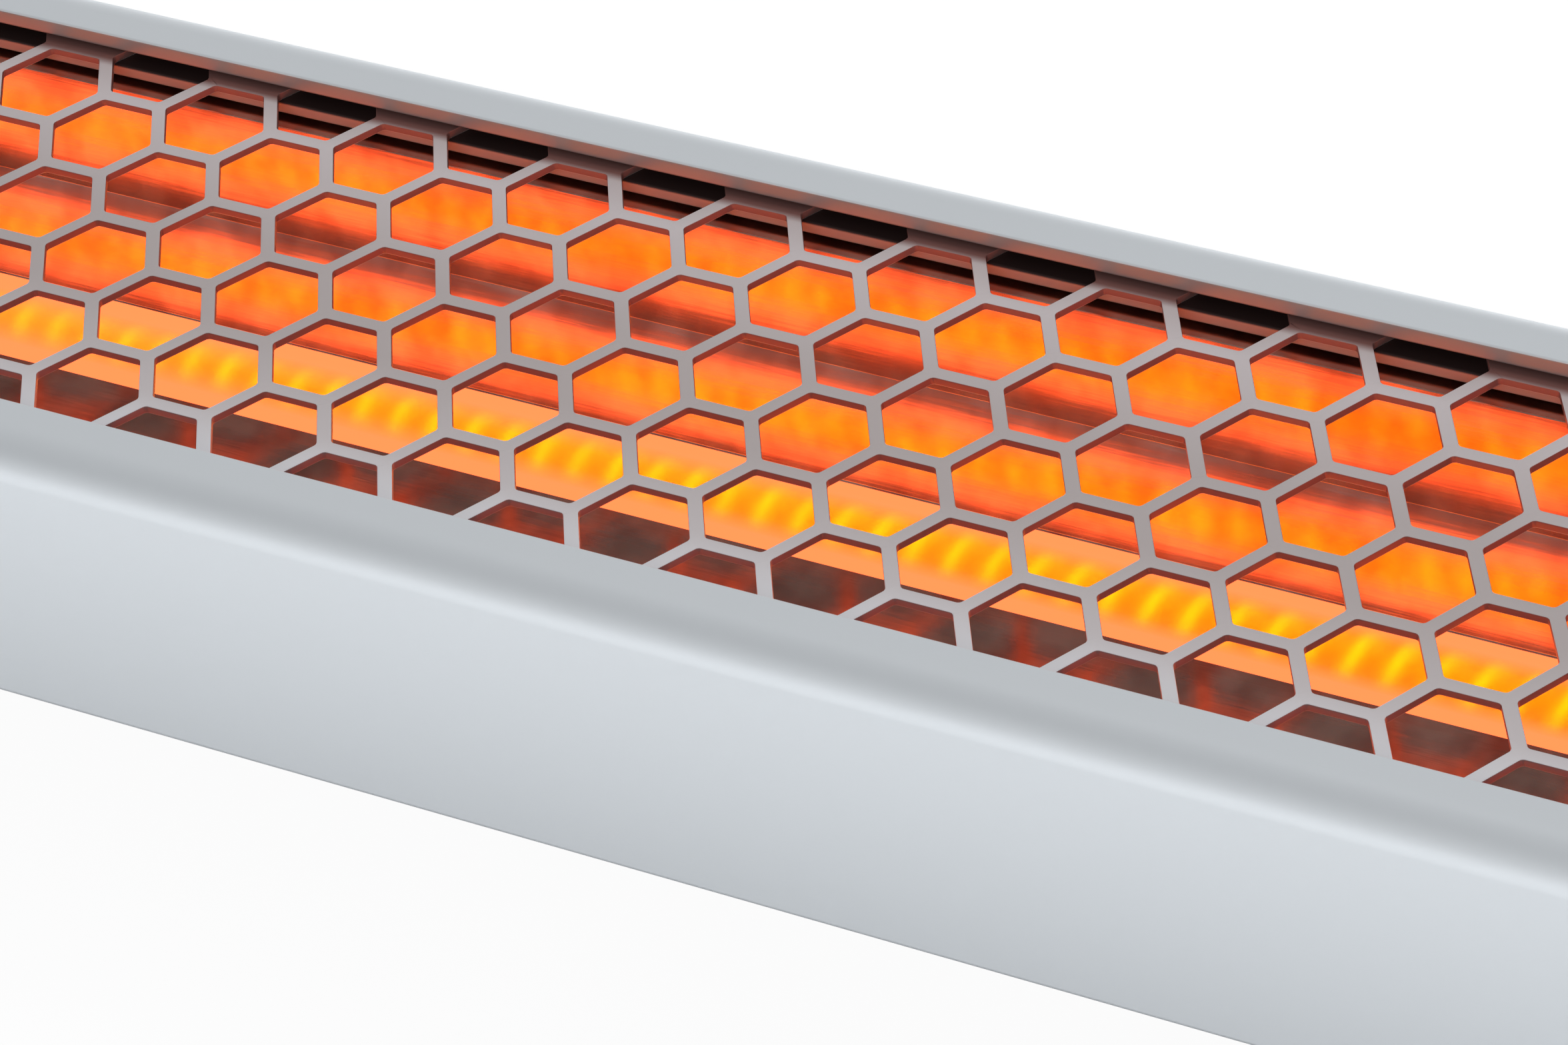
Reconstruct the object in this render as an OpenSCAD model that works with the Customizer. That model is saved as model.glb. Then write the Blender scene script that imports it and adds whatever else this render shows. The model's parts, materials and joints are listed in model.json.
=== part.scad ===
// Electric bar heater. A slim aluminium casing holds one quartz bar element in front of a folded
// reflector, behind a honeycomb guard. Two feet carry it on a tilting axis, and screw to a wall or
// a ceiling or stand on a bench.
// X runs along the heater, Y across it, +Z leaves the feet's mounting face, and at rest the guard
// faces +Z. The origin lies on the mounting face, midway between the feet.

/* [Casing] */
// Overall length of the body over its end caps
body_l = 680; // [620:2:710]
// Width of the casing
casing_w = 117; // [112:0.5:124]
// Depth of the casing, from its back to the top of its rims
casing_h = 59; // [56:0.5:70]
// Thickness of the casing's walls
wall = 2; // [1.6:0.1:2.6]
// Outer radius of the casing's long front corners
front_r = 7; // [5:0.5:8]
// Outer radius of the casing's long back corners
back_r = 1.5; // [1:0.25:3]
// Width of each rim, from the side of the casing to its inner edge
rim_w = 12.2; // [10:0.1:14]
// Thickness of the rims
rim_t = 3.3; // [2:0.1:5]
// How far the rims stand above the guard's face
rim_proud = 4; // [3.5:0.1:6]
// Reach of the ledge that carries the guard, from the side of the casing
ledge_w = 13.6; // [11.5:0.1:15]
// Thickness of the ledge that carries the guard
ledge_t = 2.5; // [1.5:0.1:3]
// Thickness of the rib that carries the reflector's flange
rib_t = 2; // [1.5:0.1:3]
// Reach of the rib that carries the reflector's flange, from the side of the casing
rib_w = 11; // [8:0.5:12]
// Radius of the screw ports that run along the casing
port_r = 4; // [3.5:0.1:4.5]
// Pilot radius of the screw ports
port_bore_r = 1.8; // [1.5:0.05:2]

/* [End caps] */
// Thickness of an end cap
cap_t = 8; // [7:0.5:12]
// Thickness of the gasket under an end cap
gasket_t = 1; // [0.5:0.1:2]
// Width of the gasket's band
gasket_band = 11; // [10:0.5:13]
// Length of each wiring space, from the bulkhead to the gasket
wiring_l = 58; // [56:1:70]

/* [Guard] */
// Pitch of the honeycomb, across the flats
cell = 20; // [16:0.5:24]
// Width of the struts between two cells
strut = 2.5; // [1.5:0.1:4]
// Thickness of the guard's sheet
guard_t = 1.5; // [1:0.1:2]
// Least solid border at the guard's two ends
guard_border = 4; // [2:0.5:20]
// Overlap of the guard past each bulkhead
guard_lap = 3; // [1:0.5:6]
// Depth of the stamped rib along each blanking plate
blank_rib = 1; // [0.5:0.1:2]

/* [Reflector] */
// Thickness of the reflector's sheet
mirror_t = 0.6; // [0.4:0.1:0.8]
// Distance from the side of the casing to the reflector's upper edge
mirror_inset = 16.1; // [15.5:0.1:18]
// Width of the reflector's upper facet, seen from the front
mirror_high_w = 5.1; // [4.5:0.1:8]
// Width of the reflector's lower facet, seen from the front
mirror_low_w = 10; // [7:0.1:14]
// Depth of the reflector's flange below the guard's face
mirror_edge_d = 5; // [4.8:0.1:6]
// Depth of the fold below the guard's face
mirror_fold_d = 25.5; // [22:0.5:30]
// Depth of the reflector's base below the guard's face
mirror_base_d = 42; // [38:0.5:44]
// Thickness of the bulkheads
bulkhead_t = 1; // [0.8:0.1:2]
// Width of the heat shield's raised deck
shield_w = 76; // [60:1:84]
// Thickness of the heat shield's sheet
shield_t = 0.6; // [0.4:0.1:1]
// Height of the heat shield's deck above the casing's floor
shield_h = 6; // [5.2:0.1:8]
// Width of each foot of the heat shield
shield_foot_w = 5; // [3:0.5:6]

/* [Element] */
// Depth of the element's axis below the guard's face
element_d = 24.6; // [20:0.2:28]
// Outer diameter of the quartz tube
tube_d = 14; // [12:0.5:16]
// Wall of the quartz tube
tube_wall = 1.1; // [0.8:0.1:1.4]
// Distance from the end of the tube to the bulkhead
tube_gap = 14; // [12:0.5:18]
// Outer diameter of the heating coil
coil_d = 7.5; // [6:0.1:9]
// Diameter of the coil's wire
coil_wire = 1.2; // [0.8:0.1:1.4]
// Pitch of the coil
coil_pitch = 7; // [5:0.1:9]
// Length at each end of the tube that the coil leaves cold
cold_l = 33; // [32:1:40]
// Length of the coil's straight tail
tail_l = 14; // [10:1:16]
// Outer diameter of the ceramic caps on the tube
ceramic_d = 20; // [18:0.5:21]
// Length of the tube inside a ceramic cap
ceramic_grip = 10; // [8:0.5:12]
// Overall length of a ceramic cap
ceramic_l = 34; // [33:0.5:38]
// Diameter of the terminal pins
pin_d = 4; // [3:0.5:5]
// Length of a terminal pin outside its ceramic cap
pin_out = 13; // [12.5:0.5:16]

/* [Wiring] */
// Diameter of the insulated leads
lead_d = 3.2; // [2:0.1:3.6]
// Length of the terminal block, along the heater
block_l = 18; // [16:1:20]
// Width of the terminal block, across the heater
block_w = 32; // [28:1:34]
// Height of the terminal block
block_h = 16; // [14:0.5:18]
// Gap between the terminal block and the gasket
block_gap = 15; // [13:0.5:18]
// Gap between the terminal block and the side wall of the casing
block_side_gap = 12.5; // [11:0.5:12.5]
// Diameter of the supply cable that the gland takes
cable_d = 8; // [6:0.5:9]
// Diameter of the gland's thread
gland_thread_d = 16; // [15:0.5:18]
// Height of the gland's axis above the casing's floor
gland_h = 30; // [28:0.5:34]

/* [Feet] */
// Distance between the two feet's middles
foot_spacing = 420; // [340:10:460]
// Height of the tilting axis above the mounting face
pivot_h = 30; // [30:0.5:45]
// Distance from the tilting axis to the casing's back
pivot_drop = 20; // [20:0.5:28]
// Length of a foot's base, across the heater
foot_base_l = 90; // [84:1:96]
// Width of a foot over its two ears
foot_w = 32; // [28:1:40]
// Radius of the corners of a foot's base
foot_corner_r = 6; // [4:0.5:10]
// Thickness of the feet's sheet
foot_t = 2.5; // [2:0.1:3]
// Distance between the two screw holes of a foot
foot_hole_gap = 66; // [60:1:72]
// Diameter of a foot's screw holes
foot_hole_d = 6.5; // [4.5:0.5:8]
// Radius of the rounded ends of the ears
ear_r = 12; // [10:0.5:13]
// Length of an ear where it leaves its base
ear_l = 42; // [32:1:46]
// Thickness of the arms' sheet
arm_t = 2.5; // [2:0.1:3]
// Length of an arm's base, across the heater
arm_l = 60; // [52:1:70]
// Distance between the two screws of an arm
arm_screw_gap = 42; // [40:1:46]
// Thickness of the washers between an ear and an arm
washer_t = 1.2; // [0.8:0.1:2]
// Diameter of the pivot bolts
bolt_d = 6; // [5:0.5:8]
// Diameter of the lock knobs over their lobes
knob_d = 34; // [28:1:38]
// Thickness of a lock knob's grip
knob_t = 13; // [10:0.5:18]

/* [Fits] */
// Free space between parts that move past each other
move_gap = 0.3; // [0.3:0.05:0.5]
// Radial clearance of a turning pin in its hole
pin_gap = 0.08; // [0.05:0.01:0.1]
// Free space round a part that another part holds
seat_gap = 0.1; // [0.05:0.05:0.2]
// Free space where a sheet or a lead passes through an opening
pass_gap = 0.4; // [0.3:0.1:0.8]

/* [Hidden] */

$fn = 64;
eps = 0.01; // overlap that joins two volumes of one piece
cut = 1;    // how far a hole's volume runs past what it cuts
sides = [-1, 1];
sides_and_middle = [-1, 0, 1];

// Heights, from the mounting face up
back_z = pivot_h + pivot_drop;
rim_z = back_z + casing_h;
face_z = rim_z - rim_proud;
floor_z = back_z + wall;
element_z = face_z - element_d;
ledge_z = face_z - guard_t;
rib_z = face_z - mirror_edge_d - mirror_t;

// Places along the heater, from its middle out
casing_x = body_l / 2 - cap_t - gasket_t;
bulkhead_out_x = casing_x - wiring_l;
bulkhead_in_x = bulkhead_out_x - bulkhead_t;
guard_x = bulkhead_out_x + guard_lap;
tube_x = bulkhead_in_x - tube_gap;
ceramic_in_x = tube_x - ceramic_grip;
ceramic_out_x = ceramic_in_x + ceramic_l;
pin_x = ceramic_out_x + pin_out;
turns = floor(2 * (tube_x - cold_l) / coil_pitch);
coil_x = turns * coil_pitch / 2;
tail_x = coil_x + tail_l;
foot_x = foot_spacing / 2;

// Places across the heater, from its middle out
side_y = casing_w / 2;
inner_y = side_y - wall;
rim_y = side_y - rim_w;
ledge_y = side_y - ledge_w;
rib_y = side_y - rib_w;
mirror_edge_y = side_y - mirror_inset;
mirror_fold_y = mirror_edge_y - mirror_high_w;
mirror_base_y = mirror_fold_y - mirror_low_w;
block_y = inner_y - block_side_gap - block_w / 2;

// Screw ports, two at the floor and two under the ribs
port_y = inner_y - port_r + wall / 4;
port_low_z = floor_z + port_r - wall / 4;
port_high_z = rib_z - rib_t - port_r + wall / 4;
ports = [for (y = [-port_y, port_y]) for (z = [port_low_z, port_high_z]) [y, z]];
cap_screw_r = port_bore_r - pin_gap;
cap_screw_l = 14;
cap_screw_hole_r = cap_screw_r + 2 * seat_gap;
cap_head_r = 3.6;
cap_head_t = 2.8;
cap_head_sink = 0.7;
cap_head_x = body_l / 2 - cap_head_sink - cap_head_t;
socket_r = 1.8;
gasket_inset = 0.5;

// Honeycomb
col_pitch = cell * sqrt(3) / 2;
cell_r = (cell - strut) / sqrt(3);
guard_w = 2 * (inner_y - seat_gap);
rows = floor((guard_w - strut) / cell - 0.5);
side_cols = floor((guard_x - guard_border - cell_r) / col_pitch);

// Blanking plates, one over each wiring space
blank_gap = 0.2;
blank_rib_inset = 9;

// Rivets that hold the bulkheads' flanges to the casing's floor
flange_l = 13;
rivet_r = 1.6;
rivet_head_r = 3.2;
rivet_head_t = 1;
rivet_spacing = 60;

// Element
tube_r = tube_d / 2;
ceramic_r = ceramic_d / 2;
wire_r = coil_wire / 2;
helix_r = coil_d / 2 - wire_r;
pin_r = pin_d / 2;
rings_per_turn = 8;
wire_sides = 6;

// Spring clips that hold the ceramic caps to the bulkheads
clip_t = 1;
clip_l = 8;
clip_w = 10;
clip_end = 4;
clip_screw_r = 1.5;
clip_screw_h = ceramic_r + clip_t + 4.5;
clip_screw_tip = 3;
clip_head_r = 2.85;
clip_head_t = 1.8;

// Wiring
lead_r = lead_d / 2;
tag_r = 4.5;
tag_t = 1;
nut_t = 3.2;
nut_r = 4.04;
tag_x = ceramic_out_x + 7.5;
tag_mid_x = tag_x + tag_t / 2;
barrel_l = 5;
barrel_w = 3;
block_x = casing_x - block_gap - block_l;
block_screw_r = 1.5;
block_head_r = 3;
block_head_t = 2;
pole_ys = [for (i = sides_and_middle) block_y + i * block_w / 3];
pole_z = floor_z + block_h / 2;
pole_r = 2;
clamp_xs = [for (k = [0.25, 0.75]) -block_x - k * block_l];
clamp_sink = 1;
slot_w = 0.8;
lead_start_x = -block_x - block_l / 8;
lead_end_y = tag_r + 3;
trough_z = port_low_z + port_r + lead_r + seat_gap;
bend_x = bulkhead_out_x + 9;
slope_l = 8;
cross_y = port_y - 16;
earth_x = bulkhead_out_x + 7;
earth_y = 19;
earth_head_r = 2.6;
earth_head_t = 2.4;
gland_y = block_y + 2;
gland_z = floor_z + gland_h;
gland_bore_r = cable_d / 2 + 1.5;
gland_neck_r = gland_thread_d / 2 + 1;
gland_hex_r = gland_neck_r + 3.7;
gland_hex_t = 5;
gland_neck_l = 13;
gland_nut_t = 4;
gland_thread_l = cap_t + gasket_t + gland_nut_t + 1;
gland_lip = 2.5;
gland_cap_gap = 1;
seal_l = 8;
seal_r = gland_neck_r - 1.6;

// Feet and arms
arm_in_x = foot_w / 2 + move_gap + washer_t;
arm_out_x = arm_in_x + arm_t;
arm_ear_r = ear_r + 1;
bolt_r = bolt_d / 2;
bolt_head_r = bolt_r * 2.1;
bolt_head_t = 3.2;
insert_r = bolt_r + 2;
knob_boss_t = 3;
knob_boss_r = insert_r + 2.5;
knob_lobes = 6;
knob_lobe_r = 5.5;
knob_lobe_rise = 3;
knob_lobe_inset = 1;
knob_in_x = arm_out_x + move_gap;
knob_grip_x = knob_in_x + knob_boss_t;
knob_out_x = knob_grip_x + knob_t;
knob_cover = 2;
insert_end_x = knob_out_x - knob_cover;
bolt_end_x = insert_end_x - 1;
screw_r = 2.5;
screw_hole_r = screw_r + seat_gap;
screw_head_r = 4.6;
screw_head_t = 2.8;
screw_socket_r = 1.5;
screw_socket_t = 1.7;
screw_nut_r = 4.5;
screw_nut_t = 3;

// ---- Shared shapes ----

// Extrudes a section, drawn with Y to the right and Z up, from x0 to x1.
module along_x(x0, x1) {
    translate([x0, 0, 0]) rotate([90, 0, 90]) linear_extrude(x1 - x0) children();
}

// The same section at both ends, or at one end: side -1 is the left, 1 the right.
module at_side(side) {
    mirror([side < 0 ? 1 : 0, 0, 0]) children();
}

module rod_x(x0, x1, r, fn = $fn) {
    translate([x0, 0, 0]) rotate([0, 90, 0]) cylinder(h = x1 - x0, r = r, $fn = fn);
}

module rod_z(z0, z1, r, fn = $fn) {
    translate([0, 0, z0]) cylinder(h = z1 - z0, r = r, $fn = fn);
}

// A box centred on Z, from z0 to z1.
module slab(l, w, z0, z1) {
    translate([-l / 2, -w / 2, z0]) cube([l, w, z1 - z0]);
}

// Volumes that cut a hole right through what lies between two places on X or on Z.
module hole_x(x0, x1, r) { rod_x(x0 - cut, x1 + cut, r); }
module hole_z(z0, z1, r) { rod_z(z0 - cut, z1 + cut, r); }

module ring_x(x0, x1, r_out, r_in, fn = $fn) {
    difference() {
        rod_x(x0, x1, r_out, fn);
        hole_x(x0, x1, r_in);
    }
}

// The casing's outline: large round front corners, small round back corners.
module casing_outline() {
    translate([-side_y, back_z + back_r]) square([casing_w, casing_h - back_r - front_r]);
    translate([-side_y + front_r, rim_z - front_r]) square([casing_w - 2 * front_r, front_r]);
    translate([-side_y + back_r, back_z]) square([casing_w - 2 * back_r, back_r]);
    for (s = sides) {
        translate([s * (side_y - front_r), rim_z - front_r]) circle(front_r);
        translate([s * (side_y - back_r), back_z + back_r]) circle(back_r);
    }
}

// A folded sheet of thickness t under the line through pts, with mitred folds.
function unit(v) = v / norm(v);
function under(a, b) = let (d = unit(b - a)) [d[1], -d[0]];
function mitre(pts, i) = i == 0 ? under(pts[0], pts[1])
    : i == len(pts) - 1 ? under(pts[i - 1], pts[i])
    : let (m = under(pts[i - 1], pts[i]) + under(pts[i], pts[i + 1])) 2 * m / (m * m);
module folded_sheet(pts, t) {
    back = [for (i = [len(pts) - 1:-1:0]) pts[i] + t * mitre(pts, i)];
    polygon(concat(pts, back));
}

// An insulated lead: straight runs with round corners through the points.
module lead(pts, r) {
    for (i = [0:len(pts) - 2]) {
        d = pts[i + 1] - pts[i];
        translate(pts[i]) rotate([0, acos(d[2] / norm(d)), atan2(d[1], d[0])])
            cylinder(h = norm(d), r = r, $fn = 24);
    }
    for (i = [1:len(pts) - 2]) translate(pts[i]) sphere(r + eps, $fn = 24);
}

// ---- Feet, arms and lock knobs ----

// One ear: a plate across X from x0 to x1 that widens from its round end to its base.
module ear(x0, x1, base_z, base_l, r) {
    along_x(x0, x1) {
        translate([0, pivot_h]) circle(r);
        polygon([[-base_l / 2, base_z], [base_l / 2, base_z], [r, pivot_h], [-r, pivot_h]]);
    }
}

module foot() {
    corner_x = foot_w / 2 - foot_corner_r;
    corner_y = foot_base_l / 2 - foot_corner_r;
    color("silver") difference() {
        union() {
            slab(foot_w, 2 * corner_y, 0, foot_t);
            slab(2 * corner_x, foot_base_l, 0, foot_t);
            for (s = sides) for (k = sides) translate([k * corner_x, s * corner_y, 0])
                rod_z(0, foot_t, foot_corner_r);
            for (s = sides) at_side(s)
                ear(foot_w / 2 - foot_t, foot_w / 2, foot_t - eps, ear_l, ear_r);
        }
        for (s = sides) translate([0, s * foot_hole_gap / 2, 0]) hole_z(0, foot_t, foot_hole_d / 2);
        translate([0, 0, pivot_h]) hole_x(-foot_w / 2, foot_w / 2, bolt_r + pin_gap);
    }
}

module arm() {
    base_z = back_z - arm_t;
    color("silver") difference() {
        union() {
            translate([-arm_out_x, -arm_l / 2, base_z]) cube([2 * arm_out_x, arm_l, arm_t]);
            for (s = sides) at_side(s) ear(arm_in_x, arm_out_x, base_z + eps, ear_l, arm_ear_r);
        }
        for (s = sides) translate([0, s * arm_screw_gap / 2, 0]) hole_z(base_z, back_z, screw_hole_r);
        translate([0, 0, pivot_h]) hole_x(-arm_out_x, arm_out_x, bolt_r + pin_gap);
    }
}

module pivot_bolt() {
    head_x = -arm_out_x - bolt_head_t;
    translate([0, 0, pivot_h]) {
        rod_x(head_x + eps, bolt_end_x, bolt_r);
        intersection() {
            rod_x(head_x, -arm_out_x, bolt_head_r);
            translate([-arm_out_x + bolt_head_r * 1.2, 0, 0]) sphere(bolt_head_r * 1.8);
        }
    }
}

// A grip with round lobes, blind at its outer face, on a brass insert.
module lock_knob() {
    hub_r = knob_d / 2 - knob_lobe_rise;
    lobe_z = knob_d / 2 - knob_lobe_r;
    color("dimgray") translate([0, 0, pivot_h]) difference() {
        union() {
            rod_x(knob_in_x, knob_grip_x + eps, knob_boss_r);
            rod_x(knob_grip_x, knob_out_x, hub_r);
            for (i = [0:knob_lobes - 1]) rotate([i * 360 / knob_lobes, 0, 0]) translate([0, 0, lobe_z])
                rod_x(knob_grip_x + knob_lobe_inset, knob_out_x - knob_lobe_inset, knob_lobe_r);
        }
        rod_x(knob_in_x - cut, insert_end_x, insert_r);
    }
}

module knob_insert() {
    color("goldenrod") translate([0, 0, pivot_h])
        ring_x(knob_in_x, insert_end_x, insert_r, bolt_r + pin_gap);
}

module foot_left() { translate([-foot_x, 0, 0]) foot(); }
module foot_right() { translate([foot_x, 0, 0]) foot(); }
module arm_left() { translate([-foot_x, 0, 0]) arm(); }
module arm_right() { translate([foot_x, 0, 0]) arm(); }
module lock_knob_left() { at_side(-1) translate([foot_x, 0, 0]) lock_knob(); }
module lock_knob_right() { translate([foot_x, 0, 0]) lock_knob(); }
module knob_insert_left() { at_side(-1) translate([foot_x, 0, 0]) knob_insert(); }
module knob_insert_right() { translate([foot_x, 0, 0]) knob_insert(); }

module pivot_bolts() {
    color("gainsboro") for (s = sides) at_side(s) translate([foot_x, 0, 0]) pivot_bolt();
}

module pivot_washers() {
    color("black") for (s = sides) for (k = sides) translate([s * foot_x, 0, pivot_h]) at_side(k)
        ring_x(foot_w / 2 + move_gap, arm_in_x, ear_r - 1, bolt_r + pin_gap);
}

// Two screws hold each arm to a pair of nuts pressed into the casing's floor.
module at_arm_screws() {
    for (s = sides) for (k = sides) translate([s * foot_x, k * arm_screw_gap / 2, 0]) children();
}

module arm_screws() {
    head_z = back_z - arm_t - screw_head_t;
    color("gainsboro") at_arm_screws() difference() {
        union() {
            rod_z(head_z + eps, floor_z + screw_nut_t, screw_r);
            rod_z(head_z, head_z + screw_head_t, screw_head_r);
        }
        rod_z(head_z - cut, head_z + screw_socket_t, screw_socket_r, 6);
    }
}

module arm_nuts() {
    color("gainsboro") at_arm_screws() difference() {
        rod_z(floor_z, floor_z + screw_nut_t, screw_nut_r, 6);
        hole_z(floor_z, floor_z + screw_nut_t, screw_hole_r);
    }
}

// ---- Casing ----

// The extruded section: back, sides, rims, guard ledges, reflector ribs and screw ports.
module casing_section() {
    difference() {
        casing_outline();
        translate([-inner_y, floor_z]) square([2 * inner_y, rim_z - rim_t - floor_z]);
        translate([-rim_y, rim_z - rim_t - cut]) square([2 * rim_y, rim_t + 2 * cut]);
    }
    for (s = sides) {
        edge = min(s * (inner_y + eps), s * ledge_y);
        translate([edge, ledge_z - ledge_t]) square([inner_y - ledge_y + eps, ledge_t]);
        rib_edge = min(s * (inner_y + eps), s * rib_y);
        translate([rib_edge, rib_z - rib_t]) square([inner_y - rib_y + eps, rib_t]);
    }
    for (p = ports) translate(p) circle(port_r);
}

module casing() {
    color([0.82, 0.84, 0.86]) difference() {
        along_x(-casing_x, casing_x) difference() {
            casing_section();
            for (p = ports) translate(p) circle(port_bore_r);
        }
        at_arm_screws() hole_z(back_z, floor_z, screw_hole_r);
        at_flange_rivets() hole_z(back_z, floor_z, rivet_r + seat_gap);
        at_block_screw() hole_z(back_z, floor_z, block_screw_r);
    }
}

// ---- End caps, gaskets and their screws ----

module end_cap() {
    color([0.80, 0.82, 0.84]) difference() {
        along_x(casing_x + gasket_t, body_l / 2) casing_outline();
        for (p = ports) translate([0, p[0], p[1]]) {
            hole_x(casing_x, body_l / 2, cap_screw_hole_r);
            rod_x(cap_head_x, body_l / 2 + cut, cap_head_r + pass_gap);
        }
    }
}

module end_gasket() {
    window_z = floor_z + gasket_band - wall;
    color("dimgray") along_x(casing_x, casing_x + gasket_t) difference() {
        intersection() {
            casing_outline();
            translate([-side_y + gasket_inset, back_z + gasket_inset])
                square([casing_w - 2 * gasket_inset, casing_h - 2 * gasket_inset]);
        }
        translate([-side_y + gasket_band, window_z])
            square([casing_w - 2 * gasket_band, ledge_z - ledge_t - window_z]);
        for (p = ports) translate(p) circle(cap_screw_hole_r);
    }
}

module end_cap_left() {
    difference() {
        at_side(-1) end_cap();
        translate([0, gland_y, gland_z])
            hole_x(-body_l / 2, -casing_x, gland_thread_d / 2 + seat_gap);
    }
}
module end_cap_right() { end_cap(); }
module end_gasket_left() { at_side(-1) end_gasket(); }
module end_gasket_right() { end_gasket(); }

module end_cap_screws() {
    color("gainsboro") for (s = sides) at_side(s) for (p = ports) translate([0, p[0], p[1]])
        difference() {
            union() {
                rod_x(cap_head_x - cap_screw_l, cap_head_x + eps, cap_screw_r);
                rod_x(cap_head_x, cap_head_x + cap_head_t, cap_head_r);
            }
            rod_x(cap_head_x + cap_head_t / 2, body_l / 2, socket_r, 6);
        }
}

// ---- Guard and blanking plates ----

// Odd columns of the honeycomb stand half a cell lower than even ones.
module guard() {
    color([0.72, 0.72, 0.74]) translate([0, 0, ledge_z]) linear_extrude(guard_t) difference() {
        square([2 * guard_x, guard_w], center = true);
        for (c = [-side_cols:side_cols]) for (r = [0:rows - 1])
            translate([c * col_pitch, (r - (rows - 1) / 2 + (c % 2 == 0 ? 0.25 : -0.25)) * cell])
                circle(r = cell_r, $fn = 6);
    }
}

// A plate with a stamped pad: raised on its face, and hollow behind.
module front_blank() {
    x0 = guard_x + blank_gap;
    x1 = casing_x - blank_gap;
    pad_l = x1 - x0 - 2 * blank_rib_inset;
    pad_w = 2 * (rim_y - blank_rib_inset);
    color([0.72, 0.72, 0.74]) translate([(x0 + x1) / 2, 0, 0]) difference() {
        union() {
            slab(x1 - x0, guard_w, ledge_z, face_z);
            slab(pad_l, pad_w, face_z - eps, face_z + blank_rib);
        }
        slab(pad_l - 2 * guard_t, pad_w - 2 * guard_t, ledge_z - cut, ledge_z + blank_rib);
    }
}

module front_blank_left() { at_side(-1) front_blank(); }
module front_blank_right() { front_blank(); }

// ---- Reflector, bulkheads and heat shield ----

mirror_half = [[inner_y - seat_gap, face_z - mirror_edge_d], [mirror_edge_y, face_z - mirror_edge_d],
               [mirror_fold_y, face_z - mirror_fold_d], [mirror_base_y, face_z - mirror_base_d]];
mirror_line = concat([for (p = mirror_half) [-p[0], p[1]]],
                     [for (i = [len(mirror_half) - 1:-1:0]) mirror_half[i]]);

module reflector() {
    color("lightyellow") along_x(-bulkhead_in_x, bulkhead_in_x) folded_sheet(mirror_line, mirror_t);
}

module at_flange_rivets() {
    for (s = sides) for (k = sides)
        translate([s * (bulkhead_out_x + flange_l / 2), k * rivet_spacing / 2, 0]) children();
}

// A wall between the element's space and the wiring, with a flange riveted to the casing's floor.
// Its corners leave room for the screw ports, and the lower ones for the neutral lead too.
module bulkhead() {
    low_y = inner_y - pass_gap;
    high_y = ledge_y - pass_gap;
    step_z = rib_z - rib_t - pass_gap;
    corner_w = 2 * (port_r + pass_gap);
    corner_y = port_y + eps;
    notch_h = trough_z + lead_r + pass_gap - floor_z;
    color("lightgray") difference() {
        union() {
            along_x(bulkhead_in_x, bulkhead_out_x) difference() {
                union() {
                    translate([-low_y, floor_z]) square([2 * low_y, step_z - floor_z]);
                    translate([-high_y, floor_z]) square([2 * high_y, ledge_z - pass_gap - floor_z]);
                }
                for (s = sides) {
                    translate([s * corner_y, floor_z + notch_h / 2])
                        square([corner_w, notch_h], center = true);
                    translate([s * corner_y, port_high_z]) square([corner_w, corner_w], center = true);
                }
                translate([0, element_z]) circle(ceramic_r + seat_gap);
            }
            translate([bulkhead_out_x - eps, -shield_w / 2, floor_z])
                cube([flange_l + eps, shield_w, bulkhead_t]);
        }
        at_flange_rivets() hole_z(floor_z, floor_z + bulkhead_t, rivet_r + seat_gap);
        for (k = sides) translate([0, 0, element_z + k * clip_screw_h])
            hole_x(bulkhead_in_x, bulkhead_out_x, clip_screw_r + seat_gap);
        translate([earth_x, earth_y, 0]) hole_z(floor_z, floor_z + bulkhead_t, pin_r + seat_gap);
    }
}
module bulkhead_left() { at_side(-1) bulkhead(); }
module bulkhead_right() { bulkhead(); }

module bulkhead_rivets() {
    color("gainsboro") at_flange_rivets() {
        rod_z(back_z - rivet_head_t, back_z, rivet_head_r);
        rod_z(back_z - eps, floor_z + bulkhead_t + eps, rivet_r);
        rod_z(floor_z + bulkhead_t, floor_z + bulkhead_t + rivet_head_t, rivet_head_r);
    }
}

// An inverted tray between the reflector and the casing's floor.
module heat_shield() {
    deck_z = floor_z + shield_h;
    deck_y = shield_w / 2;
    half = [[deck_y + shield_foot_w, floor_z + shield_t], [deck_y, floor_z + shield_t],
            [deck_y, deck_z]];
    line = concat([for (p = half) [-p[0], p[1]]], [for (i = [len(half) - 1:-1:0]) half[i]]);
    color("lightgray") along_x(-bulkhead_in_x + pass_gap, bulkhead_in_x - pass_gap)
        folded_sheet(line, shield_t);
}

// ---- Quartz element ----

module quartz_tube() {
    color([0.95, 0.6, 0.4, 0.5]) translate([0, 0, element_z])
        ring_x(-tube_x, tube_x, tube_r, tube_r - tube_wall);
}

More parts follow.
